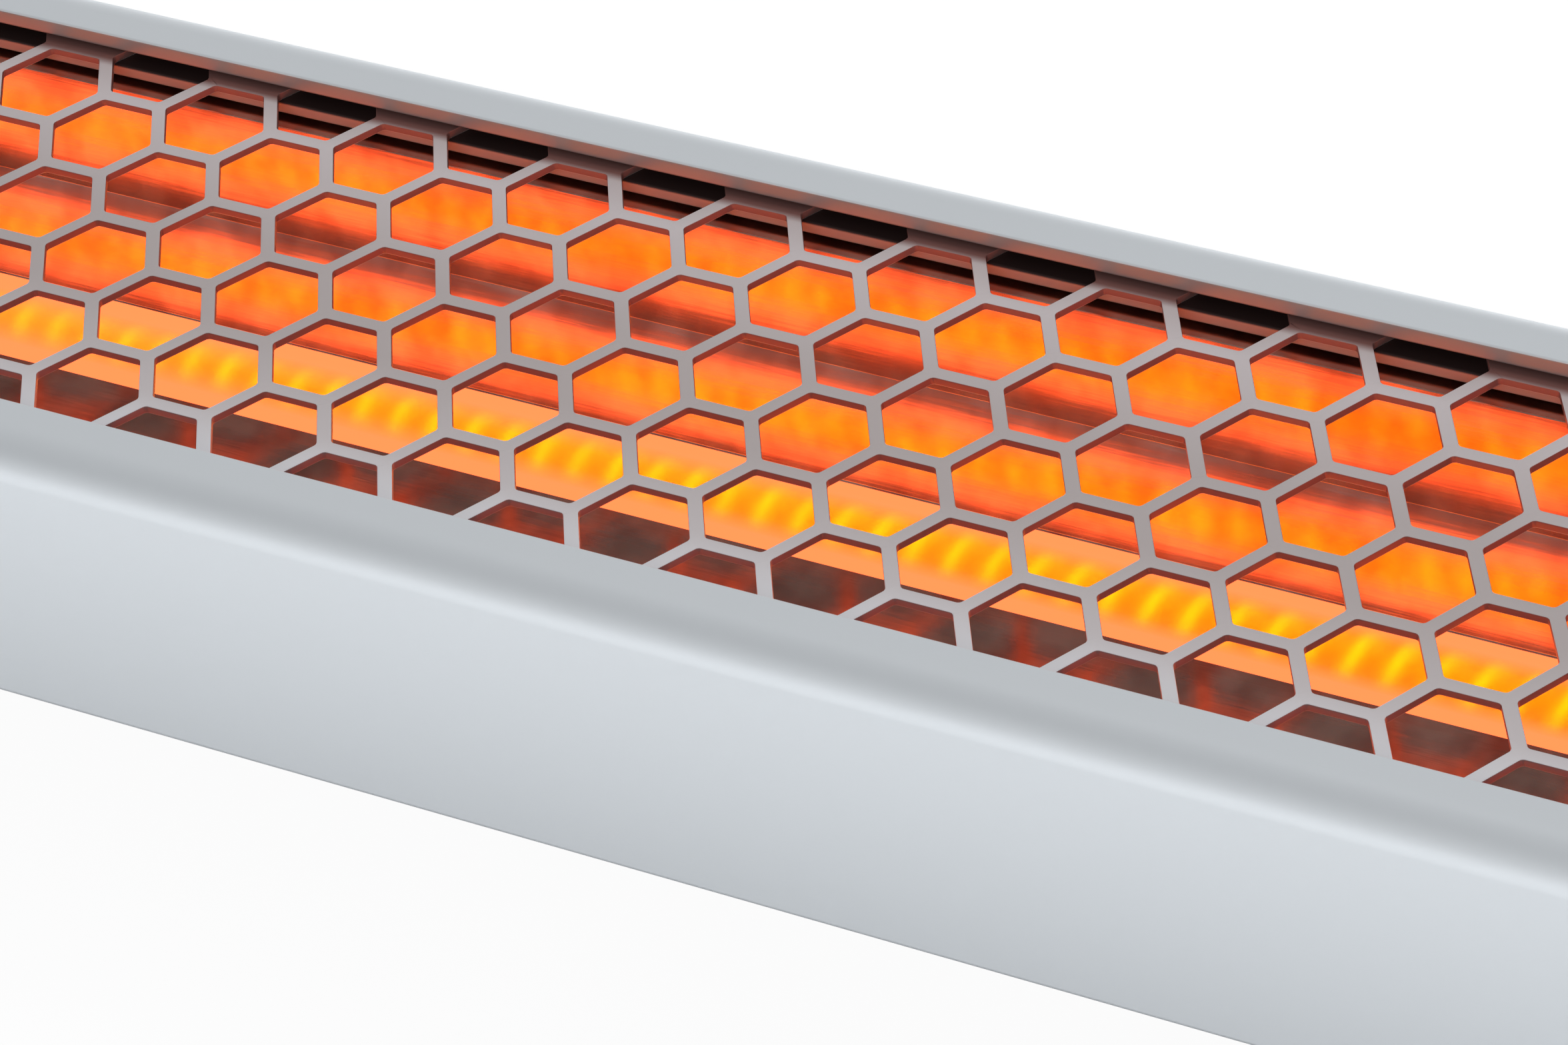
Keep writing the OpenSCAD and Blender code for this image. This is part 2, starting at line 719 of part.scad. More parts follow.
// The coil's wire as one tube: straight tails on the axis, and a helix that opens and closes
// over its first and last turn.
function coil_radius(u) = helix_r * sin(90 * max(0, min(1, u, turns - u)));
function coil_angle(u) = -360 * max(0, min(turns, u));
function coil_centre(u) = let (a = coil_angle(u), r = coil_radius(u))
    [(u - turns / 2) * coil_pitch, r * cos(a), r * sin(a)];
tail_turns = tail_l / coil_pitch;
coil_steps = concat([-tail_turns, -tail_turns / 2], [for (i = [0:turns * rings_per_turn]) i / rings_per_turn],
                    [turns + tail_turns / 2, turns + tail_turns]);
function coil_ring(u) =
    let (du = 1 / 64, ends = u <= 0 || u >= turns,
         t = ends ? [1, 0, 0] : unit(coil_centre(u + du) - coil_centre(u - du)),
         a = coil_angle(u), out = [0, cos(a), sin(a)],
         n = unit(out - (out * t) * t), b = cross(t, n))
    [for (k = [0:wire_sides - 1]) coil_centre(u)
        + wire_r * (cos(360 * k / wire_sides) * n + sin(360 * k / wire_sides) * b)];

module heating_coil() {
    n = len(coil_steps);
    m = wire_sides;
    points = [for (u = coil_steps) each coil_ring(u)];
    walls = [for (i = [0:n - 2]) for (k = [0:m - 1])
        let (a = i * m + k, b = i * m + (k + 1) % m) each [[a, b, b + m], [a, b + m, a + m]]];
    first = [for (k = [1:m - 2]) [0, k + 1, k]];
    last = [for (k = [1:m - 2]) [(n - 1) * m, (n - 1) * m + k, (n - 1) * m + k + 1]];
    color("orange") translate([0, 0, element_z])
        polyhedron([for (p = points) p], [for (f = concat(walls, first, last)) [f[0], f[2], f[1]]]);
}

// The coil's least gap to itself, measured between ring centres up to two turns apart.
near_rings = [for (i = [0:rings_per_turn * (turns - 2)])
    for (j = [rings_per_turn - 2:2 * rings_per_turn])
        norm(coil_centre((i + j) / rings_per_turn) - coil_centre(i / rings_per_turn))];
echo(coil_least_gap = min(near_rings) - coil_wire);

module ceramic_cap() {
    color("ivory") translate([0, 0, element_z]) difference() {
        rod_x(ceramic_in_x, ceramic_out_x, ceramic_r);
        rod_x(ceramic_in_x - cut, tube_x + seat_gap, tube_r + seat_gap);
        rod_x(tube_x, ceramic_out_x + cut, pin_r + seat_gap);
    }
}
module ceramic_cap_left() { at_side(-1) ceramic_cap(); }
module ceramic_cap_right() { ceramic_cap(); }

module terminal_pins() {
    color("gainsboro") translate([0, 0, element_z]) for (s = sides) at_side(s)
        rod_x(tail_x, pin_x, pin_r);
}

module terminal_nuts() {
    color("gainsboro") translate([0, 0, element_z]) for (s = sides) at_side(s) {
        ring_x(tag_x - nut_t, tag_x, nut_r, pin_r + seat_gap, 6);
        ring_x(tag_x + tag_t, tag_x + tag_t + nut_t, nut_r, pin_r + seat_gap, 6);
    }
}

// A spring clip round each ceramic cap, screwed to the bulkhead above and below it.
module ceramic_clips() {
    clip_r = ceramic_r + seat_gap;
    end_z = clip_screw_h + clip_end;
    color("silver") translate([0, 0, element_z]) for (s = sides) at_side(s) {
        ring_x(bulkhead_out_x, bulkhead_out_x + clip_l, clip_r + clip_t, clip_r);
        difference() {
            translate([bulkhead_out_x, -clip_w / 2, -end_z]) cube([clip_t, clip_w, 2 * end_z]);
            hole_x(bulkhead_out_x, bulkhead_out_x + clip_t, clip_r + clip_t / 2);
            for (k = sides) translate([0, 0, k * clip_screw_h])
                hole_x(bulkhead_out_x, bulkhead_out_x + clip_t, clip_screw_r + seat_gap);
        }
    }
}

module clip_screws() {
    color("gainsboro") translate([0, 0, element_z]) for (s = sides) at_side(s)
        for (k = sides) translate([0, 0, k * clip_screw_h]) {
            head_x = bulkhead_out_x + clip_t;
            rod_x(bulkhead_in_x - clip_screw_tip, head_x + eps, clip_screw_r);
            rod_x(head_x, head_x + clip_head_t, clip_head_r);
        }
}

// ---- Terminal block and leads, in the left wiring space ----

// The block's screw stands between two of its three poles.
module at_block_screw() {
    translate([-block_x - block_l / 2, (pole_ys[0] + pole_ys[1]) / 2, 0]) children();
}

module terminal_block() {
    color("white") difference() {
        translate([-block_x - block_l, block_y - block_w / 2, floor_z]) cube([block_l, block_w, block_h]);
        for (y = pole_ys) translate([0, y, 0]) {
            translate([0, 0, pole_z]) hole_x(-block_x - block_l, -block_x, pole_r);
            for (x = clamp_xs) translate([x, 0, 0]) rod_z(pole_z, floor_z + block_h + cut, pole_r);
        }
        at_block_screw() {
            hole_z(floor_z, floor_z + block_h, block_screw_r + seat_gap);
            rod_z(pole_z, floor_z + block_h + cut, block_head_r + seat_gap);
        }
    }
}

module terminal_screws() {
    top_z = floor_z + block_h - clamp_sink;
    color("goldenrod") for (y = pole_ys) for (x = clamp_xs) translate([x, y, 0]) difference() {
        rod_z(pole_z + pole_r, top_z, pole_r - pin_gap);
        slab(2 * pole_r, slot_w, top_z - slot_w, top_z + cut);
    }
}

module block_screw() {
    color("gainsboro") at_block_screw() {
        rod_z(back_z, pole_z + eps, block_screw_r - pin_gap);
        rod_z(pole_z, pole_z + block_head_t, block_head_r);
    }
}

// A round tag on a terminal pin, with its barrel towards +Y.
module pin_tag(side) {
    at_side(side) translate([0, 0, element_z]) ring_x(tag_x, tag_x + tag_t, tag_r, pin_r + seat_gap);
}

// The flat barrel that joins a lead to its tag.
module lead_barrel() {
    translate([-tag_t / 2, tag_r - 1, element_z - barrel_w / 2]) cube([tag_t, barrel_l, barrel_w]);
}

module lead_live() {
    y = pole_ys[0];
    color("brown") {
        lead([[lead_start_x, y, pole_z], [-tag_mid_x + 1, y, pole_z], [-tag_mid_x + 1, y, element_z],
              [-tag_mid_x, lead_end_y, element_z]], lead_r);
        translate([-tag_mid_x, 0, 0]) lead_barrel();
        pin_tag(-1);
    }
}

module lead_neutral() {
    y = pole_ys[2];
    color("royalblue") {
        lead([[lead_start_x, y, pole_z], [-bend_x - slope_l, y, pole_z], [-bend_x, port_y, trough_z],
              [bend_x, port_y, trough_z], [tag_mid_x, cross_y, element_z],
              [tag_mid_x, lead_end_y, element_z]], lead_r);
        translate([tag_mid_x, 0, 0]) lead_barrel();
        pin_tag(1);
    }
}

module lead_earth() {
    y = pole_ys[1];
    tag_z = floor_z + bulkhead_t;
    low_z = tag_z + lead_r + move_gap;
    color("green") {
        lead([[lead_start_x, y, pole_z], [-earth_x - 6, y, pole_z],
              [-earth_x - 3, earth_y + tag_r + 2, low_z], [-earth_x, earth_y + tag_r - 1, low_z]], lead_r);
        translate([-earth_x, earth_y, 0]) difference() {
            rod_z(tag_z, tag_z + tag_t, tag_r);
            hole_z(tag_z, tag_z + tag_t, pin_r + seat_gap);
        }
    }
}

module earth_screw() {
    head_z = floor_z + bulkhead_t + tag_t;
    color("goldenrod") translate([-earth_x, earth_y, 0]) {
        rod_z(floor_z, head_z + eps, pin_r);
        rod_z(head_z, head_z + earth_head_t, earth_head_r);
    }
}

// ---- Cable gland, on the left end cap ----

module at_gland() { translate([-body_l / 2, gland_y, gland_z]) children(); }

module gland_body() {
    color("dimgray") at_gland() difference() {
        union() {
            rod_x(-gland_hex_t, 0, gland_hex_r, 6);
            rod_x(-gland_neck_l, gland_thread_l, gland_thread_d / 2);
            rod_x(-gland_neck_l, 0, gland_neck_r);
        }
        hole_x(-gland_neck_l, gland_thread_l, gland_bore_r);
        rod_x(-gland_neck_l - cut, -gland_neck_l + seal_l, seal_r);
    }
}

module gland_locknut() {
    color("dimgray") at_gland()
        ring_x(cap_t, cap_t + gland_nut_t, gland_hex_r, gland_thread_d / 2 + seat_gap, 6);
}

module gland_cap() {
    end_x = -gland_neck_l - seat_gap;
    color("dimgray") at_gland() difference() {
        rod_x(end_x - gland_lip, -gland_hex_t - gland_cap_gap, gland_hex_r, 6);
        rod_x(end_x, 0, gland_neck_r + seat_gap);
        rod_x(end_x - gland_lip - cut, 0, gland_bore_r);
    }
}

module gland_seal() {
    color("black") at_gland()
        ring_x(-gland_neck_l, -gland_neck_l + seal_l, seal_r, cable_d / 2);
}

foot_left();
foot_right();
arm_left();
arm_right();
pivot_bolts();
pivot_washers();
lock_knob_left();
lock_knob_right();
knob_insert_left();
knob_insert_right();
arm_screws();
arm_nuts();
casing();
end_cap_left();
end_cap_right();
end_gasket_left();
end_gasket_right();
end_cap_screws();
guard();
front_blank_left();
front_blank_right();
reflector();
bulkhead_left();
bulkhead_right();
bulkhead_rivets();
heat_shield();
quartz_tube();
heating_coil();
ceramic_cap_left();
ceramic_cap_right();
terminal_pins();
terminal_nuts();
ceramic_clips();
clip_screws();
terminal_block();
terminal_screws();
block_screw();
lead_live();
lead_neutral();
lead_earth();
earth_screw();
gland_body();
gland_locknut();
gland_cap();
gland_seal();
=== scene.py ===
"""Electric bar heater: a quartz bar glows in front of a folded reflector, behind a honeycomb guard."""

import json
import math

import bmesh
import bpy
from mathutils import Matrix, Vector


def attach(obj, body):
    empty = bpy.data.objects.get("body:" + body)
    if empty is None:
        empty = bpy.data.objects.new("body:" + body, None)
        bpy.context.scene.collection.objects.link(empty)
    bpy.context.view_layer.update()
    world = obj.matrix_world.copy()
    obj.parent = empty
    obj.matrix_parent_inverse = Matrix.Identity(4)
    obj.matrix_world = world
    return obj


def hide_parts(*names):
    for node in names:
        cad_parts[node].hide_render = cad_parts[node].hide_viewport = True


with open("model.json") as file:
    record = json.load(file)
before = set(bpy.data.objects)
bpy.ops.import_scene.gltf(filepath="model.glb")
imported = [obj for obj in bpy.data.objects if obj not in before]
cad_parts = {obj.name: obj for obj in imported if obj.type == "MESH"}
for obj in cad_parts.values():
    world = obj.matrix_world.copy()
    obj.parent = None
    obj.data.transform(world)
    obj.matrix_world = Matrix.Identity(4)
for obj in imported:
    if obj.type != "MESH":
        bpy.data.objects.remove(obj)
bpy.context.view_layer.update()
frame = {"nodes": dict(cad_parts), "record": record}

# ---- Camera ----
# A long lens looks down on the heater from its near side and its right end, at the photograph's
# angle. Its place and turn were fitted to the guard's own even lattice.

camera_right = Vector((0.88758, 0.44698, -0.11141))
camera_up = Vector((-0.22435, 0.63067, 0.74292))
camera_back = Vector((0.40233, -0.63440, 0.66005))
camera_place = Vector((0.3782, -0.5870, 0.6884))
camera = bpy.data.objects.new("camera", bpy.data.cameras.new("camera"))
camera.data.sensor_width = 36
camera.data.lens = 127.96
camera.data.clip_end = 60
camera.matrix_world = Matrix([*zip(camera_right, camera_up, camera_back, camera_place), (0, 0, 0, 1)])
bpy.context.collection.objects.link(camera)
bpy.context.scene.camera = camera
bpy.context.scene.view_settings.view_transform = "Standard"

# ---- Studio ----
# A white sweep under plain soft light. Metal and glass see a pale horizon and a darker ceiling,
# and the table near the heater, in a painted grey shade, sends less light back up than the sweep does.


def linear(hex_colour):
    """An sRGB hex colour as the linear numbers that shaders take."""
    def channel(pair):
        c = int(pair, 16) / 255
        return c / 12.92 if c <= 0.04045 else ((c + 0.055) / 1.055) ** 2.4
    return tuple(channel(hex_colour[i:i + 2]) for i in (0, 2, 4)) + (1,)


def add(tree, kind, inputs=None, stops=(), **settings):
    """Adds a node. Each input, by name or number, takes a node, a socket, a constant or a list of these.

    A setting is a property of the node, or an input whose name is written with underscores.
    Properties are set first, because some of them change the inputs. The stops of a colour ramp
    are pairs of a position and a hex colour.
    """
    node = tree.nodes.new(kind)
    for name, value in settings.items():
        if hasattr(node, name):
            setattr(node, name, value)
    for name, value in settings.items():
        if not hasattr(node, name):
            node.inputs[name.replace("_", " ")].default_value = value
    for slot, sources in (inputs or {}).items():
        for source in sources if isinstance(sources, list) else [sources]:
            if isinstance(source, bpy.types.Node):
                source = source.outputs[0]
            if isinstance(source, bpy.types.NodeSocket):
                tree.links.new(source, node.inputs[slot])
            else:
                node.inputs[slot].default_value = source
    for k, (position, colour) in enumerate(stops):
        stop = node.color_ramp.elements[k] if k < 2 else node.color_ramp.elements.new(position)
        stop.position = position
        stop.color = linear(colour)
    return node


def material(name):
    """An empty material, and its node tree."""
    made = bpy.data.materials.new(name)
    made.use_nodes = True
    made.node_tree.nodes.clear()
    return made, made.node_tree


def link_new(name, data):
    """A new object in the scene."""
    made = bpy.data.objects.new(name, data)
    bpy.context.collection.objects.link(made)
    return made


studio = bpy.data.worlds.new("studio")
bpy.context.scene.world = studio
studio.use_nodes = True
sky = studio.node_tree
sky.nodes.clear()
ray = add(sky, "ShaderNodeLightPath").outputs
direction = add(sky, "ShaderNodeTexCoord").outputs["Generated"]
height = add(sky, "ShaderNodeSeparateXYZ", {0: direction}).outputs["Z"]
dome = add(sky, "ShaderNodeValToRGB", {0: height},
           stops=((0.0, "D7D7D7"), (0.62, "3F3F3F"), (0.88, "7C7C7C")))
mirrored = add(sky, "ShaderNodeMath", {0: ray["Is Glossy Ray"], 1: ray["Is Transmission Ray"]},
               operation="MAXIMUM")
seen = add(sky, "ShaderNodeMix", {0: mirrored, 6: linear("C4C7CB"), 7: dome}, data_type="RGBA").outputs[2]
white = add(sky, "ShaderNodeMix", {0: ray["Is Camera Ray"], 6: seen, 7: linear("FFFFFF")},
            data_type="RGBA").outputs[2]
shining = add(sky, "ShaderNodeBackground", {0: white}, Strength=1.0)
add(sky, "ShaderNodeOutputWorld", {0: shining})


def soft_lamp(name, place, target, size, power):
    """A rectangular soft box, turned to a target. No mirror and no camera sees it."""
    lamp = link_new(name, bpy.data.lights.new(name, "AREA"))
    lamp.data.shape = "RECTANGLE"
    lamp.data.size, lamp.data.size_y = size
    lamp.data.energy = power
    lamp.location = place
    lamp.rotation_euler = (Vector(target) - Vector(place)).to_track_quat("-Z", "Y").to_euler()
    lamp.visible_glossy = False
    lamp.visible_camera = False


heater_middle = (0, 0, 0.1)
soft_lamp("key_lamp", place=(0.3, -2.2, 1.6), target=heater_middle, size=(3.0, 1.2), power=29.5)
soft_lamp("top_lamp", place=(0, 1.1, 2.2), target=heater_middle, size=(3.0, 1.6), power=50)

# Blender works in metres, and the object's sizes are named in millimetres.
MM = 0.001

# The floor lies a hair below the feet, so that no two faces share a plane.
floor_half, floor_drop = 20.0, 0.1 * MM
floor_corners = [(x * floor_half, y * floor_half, -floor_drop)
                 for x, y in ((-1, -1), (1, -1), (1, 1), (-1, 1))]
floor_mesh = bpy.data.meshes.new("floor")
floor_mesh.from_pydata(floor_corners, [], [(0, 1, 2, 3)])
floor = link_new("floor", floor_mesh)

# Matt white cloth, painted grey in shade under the heater and white again 200 mm beside its middle.
# The camera sees it as plain white, with only a faint shadow.
sweep, tree = material("white_sweep")
ray = add(tree, "ShaderNodeLightPath").outputs
place = add(tree, "ShaderNodeTexCoord").outputs["Object"]
axes = add(tree, "ShaderNodeSeparateXYZ", {0: place}).outputs
across = add(tree, "ShaderNodeMath", {0: axes["Y"]}, operation="ABSOLUTE")
beside = add(tree, "ShaderNodeMapRange", {0: across}, From_Min=60 * MM, From_Max=200 * MM,
             interpolation_type="SMOOTHSTEP")
# Painted shade: grey under the heater, white 200 mm beside its middle.
painted_floor_shade = add(tree, "ShaderNodeValToRGB", {0: beside}, stops=((0, "9E9E9E"), (1, "F3F3F3")))
cloth = add(tree, "ShaderNodeBsdfDiffuse", {0: painted_floor_shade})
bright = add(tree, "ShaderNodeEmission", Color=linear("FFFFFF"), Strength=1.0)
shadow = add(tree, "ShaderNodeBsdfDiffuse", Color=linear("F3F3F3"))
plain = add(tree, "ShaderNodeMixShader", {1: shadow, 2: bright}, Fac=0.94)
mixed = add(tree, "ShaderNodeMixShader", {0: ray["Is Camera Ray"], 1: cloth, 2: plain})
add(tree, "ShaderNodeOutputMaterial", {0: mixed})
floor.data.materials.append(sweep)

# ---- Casing ----
# One aluminium extrusion carries everything: its long rims, grooves for the guard and the
# reflector, and four screw ports. It is blasted and anodised, then cut to length.


def rounded(corners, steps=5, large_r=3):
    """An outline with round corners, from (across, up, radius) in millimetres.

    A corner is drawn in so many steps, or in three times as many where its radius is large.
    """
    outline = []
    for i, (x, y, r) in enumerate(corners):
        here = Vector((x, y))
        if not r:
            outline.append((x, y))
            continue
        before = (Vector(corners[i - 1][:2]) - here).normalized()
        after = (Vector(corners[(i + 1) % len(corners)][:2]) - here).normalized()
        half_angle = before.angle(after) / 2
        centre = here + (before + after).normalized() * r / math.sin(half_angle)
        first = here + before * r / math.tan(half_angle) - centre
        last = here + after * r / math.tan(half_angle) - centre
        start = math.atan2(first.y, first.x)
        turn = (math.atan2(last.y, last.x) - start + math.pi) % math.tau - math.pi
        count = 3 * steps if r > large_r else steps
        for k in range(count + 1):
            a = start + turn * k / count
            outline.append((centre.x + r * math.cos(a), centre.y + r * math.sin(a)))
    return outline


def circle(x, y, r, count):
    """A round outline in millimetres."""
    return [(x + r * math.cos(math.tau * k / count), y + r * math.sin(math.tau * k / count))
            for k in range(count)]


def applied(piece):
    """Bakes a piece's modifiers into its mesh."""
    graph = bpy.context.evaluated_depsgraph_get()
    mesh = bpy.data.meshes.new_from_object(piece.evaluated_get(graph), preserve_all_data_layers=True,
                                           depsgraph=graph)
    piece.modifiers.clear()
    piece.data = mesh
    return piece


def shaded(piece, sharp_degrees=35):
    """Smooth shading that breaks at sharp edges and keeps the large flat faces flat."""
    piece.data.shade_smooth()
    piece.data.set_sharp_from_angle(angle=math.radians(sharp_degrees))
    weighted = piece.modifiers.new("flat_faces", "WEIGHTED_NORMAL")
    weighted.keep_sharp = True
    return applied(piece)


def turn_outwards(mesh, merge_mm=None):
    """Makes a closed mesh's faces point outwards, once its doubles are merged if that is asked."""
    shell = bmesh.new()
    shell.from_mesh(mesh)
    if merge_mm:
        bmesh.ops.remove_doubles(shell, verts=shell.verts, dist=merge_mm * MM)
    bmesh.ops.recalc_face_normals(shell, faces=shell.faces)
    shell.to_mesh(mesh)
    shell.free()


def extruded(name, outlines, length, merge_mm=0.001):
    """Pushes outlines, in (Y, Z) millimetres, half a length each way along X. Inner ones are holes."""
    flat = bpy.data.curves.new(name, "CURVE")
    flat.dimensions = "2D"
    flat.fill_mode = "BOTH"
    flat.extrude = length / 2
    for outline in outlines:
        line = flat.splines.new("POLY")
        line.points.add(len(outline) - 1)
        for point, (y, z) in zip(line.points, outline):
            point.co = (y, z, 0, 1)
        line.use_cyclic_u = True
    holder = link_new(name, flat)
    graph = bpy.context.evaluated_depsgraph_get()
    mesh = bpy.data.meshes.new_from_object(holder.evaluated_get(graph))
    bpy.data.objects.remove(holder)
    # The curve's own plane becomes Y and Z, in metres, and its depth becomes X.
    mesh.transform(Matrix(((0, 0, MM, 0), (MM, 0, 0, 0), (0, MM, 0, 0), (0, 0, 0, 1))))
    turn_outwards(mesh, merge_mm)
    return link_new(name, mesh)


# The record says which body carries each node.
body_of = {node: body for body, members in frame["record"]["behaviour"]["bodies"].items() for node in members}


def fit(piece, made, node):
    """Dresses a finished piece and puts it in the place of its CAD node."""
    piece.data.materials.clear()
    piece.data.materials.append(made)
    for face in piece.data.polygons:
        face.material_index = 0
    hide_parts(node)
    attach(piece, body_of[node])


def satin_metal(name, colour, metallic, roughness, grain_mm, bump, streak=0.0):
    """A blasted, coated or drawn metal. Its grain breaks up the light, and its streaks run along X.

    The grain is about 0.05 mm wide in life and the streaks 0.2 mm. Both are drawn coarser than
    that, so that they show.
    """
    streak_mm, streak_stretch = 0.9, 50
    relief_mm, rough_range = 0.02, 0.04
    made, tree = material(name)
    place = add(tree, "ShaderNodeTexCoord").outputs["Object"]
    grain = add(tree, "ShaderNodeTexNoise", {"Vector": place}, Scale=1 / (grain_mm * MM), Detail=2.0)
    along = add(tree, "ShaderNodeMapping", {0: place}, Scale=(1 / streak_stretch, 1, 1))
    drawn = add(tree, "ShaderNodeTexNoise", {"Vector": along}, Scale=1 / (streak_mm * MM), Detail=3.0)
    lift = add(tree, "ShaderNodeBump", {"Height": grain}, Strength=bump, Distance=relief_mm * MM)
    lines = add(tree, "ShaderNodeBump", {"Height": drawn, "Normal": lift}, Strength=streak,
                Distance=relief_mm * MM)
    rough = add(tree, "ShaderNodeMapRange", {0: grain}, To_Min=roughness - rough_range,
                To_Max=roughness + rough_range)
    skin = add(tree, "ShaderNodeBsdfPrincipled", {"Normal": lines, "Roughness": rough},
               Base_Color=linear(colour), Metallic=metallic)
    add(tree, "ShaderNodeOutputMaterial", {0: skin})
    return made


# The section in millimetres: across from its middle, and up from what the heater stands on.
casing_length = 662
side, back_z, rim_z = 58.5, 50, 109
inner, floor_z = 56.5, 52
rim_in = 46.3
corner_r, back_r, rim_r, nick_r = 7, 1.5, 0.5, 0.35
groove_low, groove_high = 103.5, 105.7
slot_low, slot_high = 99.4, 101
slot_in, ledge_in = 47.5, 44.9
port_y, port_r, bore_r = 53, 4, 1.8
port_wall = inner - port_y
port_zs = (floor_z + port_wall, 93.9)
port_reach = math.sqrt(port_r ** 2 - port_wall ** 2)


def port_arc(z, first, last, count=10):
    """The wall of a screw port, from one angle to another."""
    angles = [math.radians(first + (last - first) * k / count) for k in range(count + 1)]
    return [(port_y + port_r * math.cos(a), z + port_r * math.sin(a), 0) for a in angles]


floor_angle = math.degrees(math.atan2(-port_wall, -port_reach)) % 360
wall_angle = math.degrees(math.atan2(port_reach, port_wall))
half_section = port_arc(port_zs[0], floor_angle, wall_angle)
half_section += port_arc(port_zs[1], 360 - wall_angle, 360 - floor_angle)
half_section += [
    (slot_in, port_zs[1] + port_wall, nick_r), (slot_in, slot_low, nick_r), (inner, slot_low, nick_r),
    (inner, slot_high, nick_r), (ledge_in, slot_high, nick_r), (ledge_in, groove_low, nick_r),
    (inner, groove_low, nick_r), (inner, groove_high, nick_r), (rim_in, groove_high, nick_r),
    (rim_in, rim_z, rim_r), (side, rim_z, corner_r), (side, back_z, back_r)]
section = rounded([(-y, z, r) for y, z, r in reversed(half_section)] + half_section)
bores = [circle(s * port_y, z, bore_r, 20) for s in (-1, 1) for z in port_zs]

# Satin anodised aluminium: a soft, slightly blue silver. Blasting leaves no clear reflection, only
# a broad light along the round corners. In the hollow between the rims its colour holds painted
# light and shade: a pinkish-brown painted glow of the bar low down, near-black painted shadow in
# the guard's grooves and a greyish painted shade up the rims' inner faces. The ramp runs over
# 10 mm of height, from z 100.
anodised = satin_metal("satin_anodised_aluminium", "DFE3E6", metallic=0.62, roughness=0.46, grain_mm=0.5,
                       bump=0.06, streak=0.02)
tree = anodised.node_tree
place = add(tree, "ShaderNodeTexCoord").outputs["Object"]
axes = add(tree, "ShaderNodeSeparateXYZ", {0: place}).outputs
off_middle = add(tree, "ShaderNodeMath", {0: axes["Y"]}, operation="ABSOLUTE")
rim_margin, wall_margin, floor_margin = 0.3, 0.1, 0.5
masks = []
for wall_y, top_z in ((rim_in + rim_margin, rim_z - rim_margin),
                      (inner + wall_margin, groove_high + wall_margin)):
    within = add(tree, "ShaderNodeMath", {0: off_middle, 1: wall_y * MM}, operation="LESS_THAN")
    below = add(tree, "ShaderNodeMath", {0: axes["Z"], 1: top_z * MM}, operation="LESS_THAN")
    masks.append(add(tree, "ShaderNodeMath", {0: within, 1: below}, operation="MULTIPLY"))
either = add(tree, "ShaderNodeMath", {0: masks[0], 1: masks[1]}, operation="MAXIMUM")
above = add(tree, "ShaderNodeMath", {0: axes["Z"], 1: (floor_z - floor_margin) * MM},
            operation="GREATER_THAN")
hollow = add(tree, "ShaderNodeMath", {0: either, 1: above}, operation="MULTIPLY")
painted_from, painted_height = 100, 10
painted_z = add(tree, "ShaderNodeMath", {
    0: axes["Z"], 1: 1 / (painted_height * MM), 2: -painted_from / painted_height}, operation="MULTIPLY_ADD")
# Painted glow of the bar, then painted shadow in the grooves, then painted shade up the rims' inner faces.
painted_shade_and_glow = add(tree, "ShaderNodeValToRGB", {0: painted_z}, stops=(
    (0.30, "B09A94"), (0.335, "3A2A28"), (0.58, "2E1C18"), (0.62, "A89A96"), (0.86, "9E9E9C")))
skin = tree.nodes["Principled BSDF"]
bare = tuple(skin.inputs["Base Color"].default_value)
# The painted light and shade take the place of the bare colour only in the hollow.
painted_hollow = add(tree, "ShaderNodeMix", {0: hollow, 6: bare, 7: painted_shade_and_glow}, data_type="RGBA")
tree.links.new(painted_hollow.outputs[2], skin.inputs["Base Color"])
fit(shaded(extruded("casing_shaped", [section] + bores, casing_length)), anodised, "casing")

# ---- End caps ----
# Two die-cast aluminium plates close the casing on rubber gaskets. Their edges are broken by
# tumbling, and four sunk screws hold each one.


def soften(node, width, segments=2, sharp_degrees=40, outside=None):
    """A merged copy of a CAD piece with its sharp edges rounded over, width in millimetres.

    Where outside is given, a mesh of revolution, the piece is first cut back to fit inside it.
    """
    merge_mm, flat_degrees = 0.001, 0.5
    piece = link_new(node + "_shaped", frame["nodes"][node].data.copy())
    # The CAD's stored normals would show through the new round edges.
    if "custom_normal" in piece.data.attributes:
        piece.data.attributes.remove(piece.data.attributes["custom_normal"])
    shell = bmesh.new()
    shell.from_mesh(piece.data)
    bmesh.ops.remove_doubles(shell, verts=shell.verts, dist=merge_mm * MM)
    bmesh.ops.dissolve_limit(shell, angle_limit=math.radians(flat_degrees), verts=shell.verts,
                             edges=shell.edges)
    shell.to_mesh(piece.data)
    shell.free()
    if outside:
        envelope = link_new("outside", outside)
        cut = piece.modifiers.new("turned_outside", "BOOLEAN")
        cut.operation = "INTERSECT"
        cut.object = envelope
        applied(piece)
        bpy.data.objects.remove(envelope)
    round_over = piece.modifiers.new("round_over", "BEVEL")
    round_over.width = width * MM
    round_over.segments = segments
    round_over.limit_method = "ANGLE"
    round_over.angle_limit = math.radians(sharp_degrees)
    round_over.use_clamp_overlap = False
    round_over.miter_outer = "MITER_ARC"
    return shaded(applied(piece), sharp_degrees)


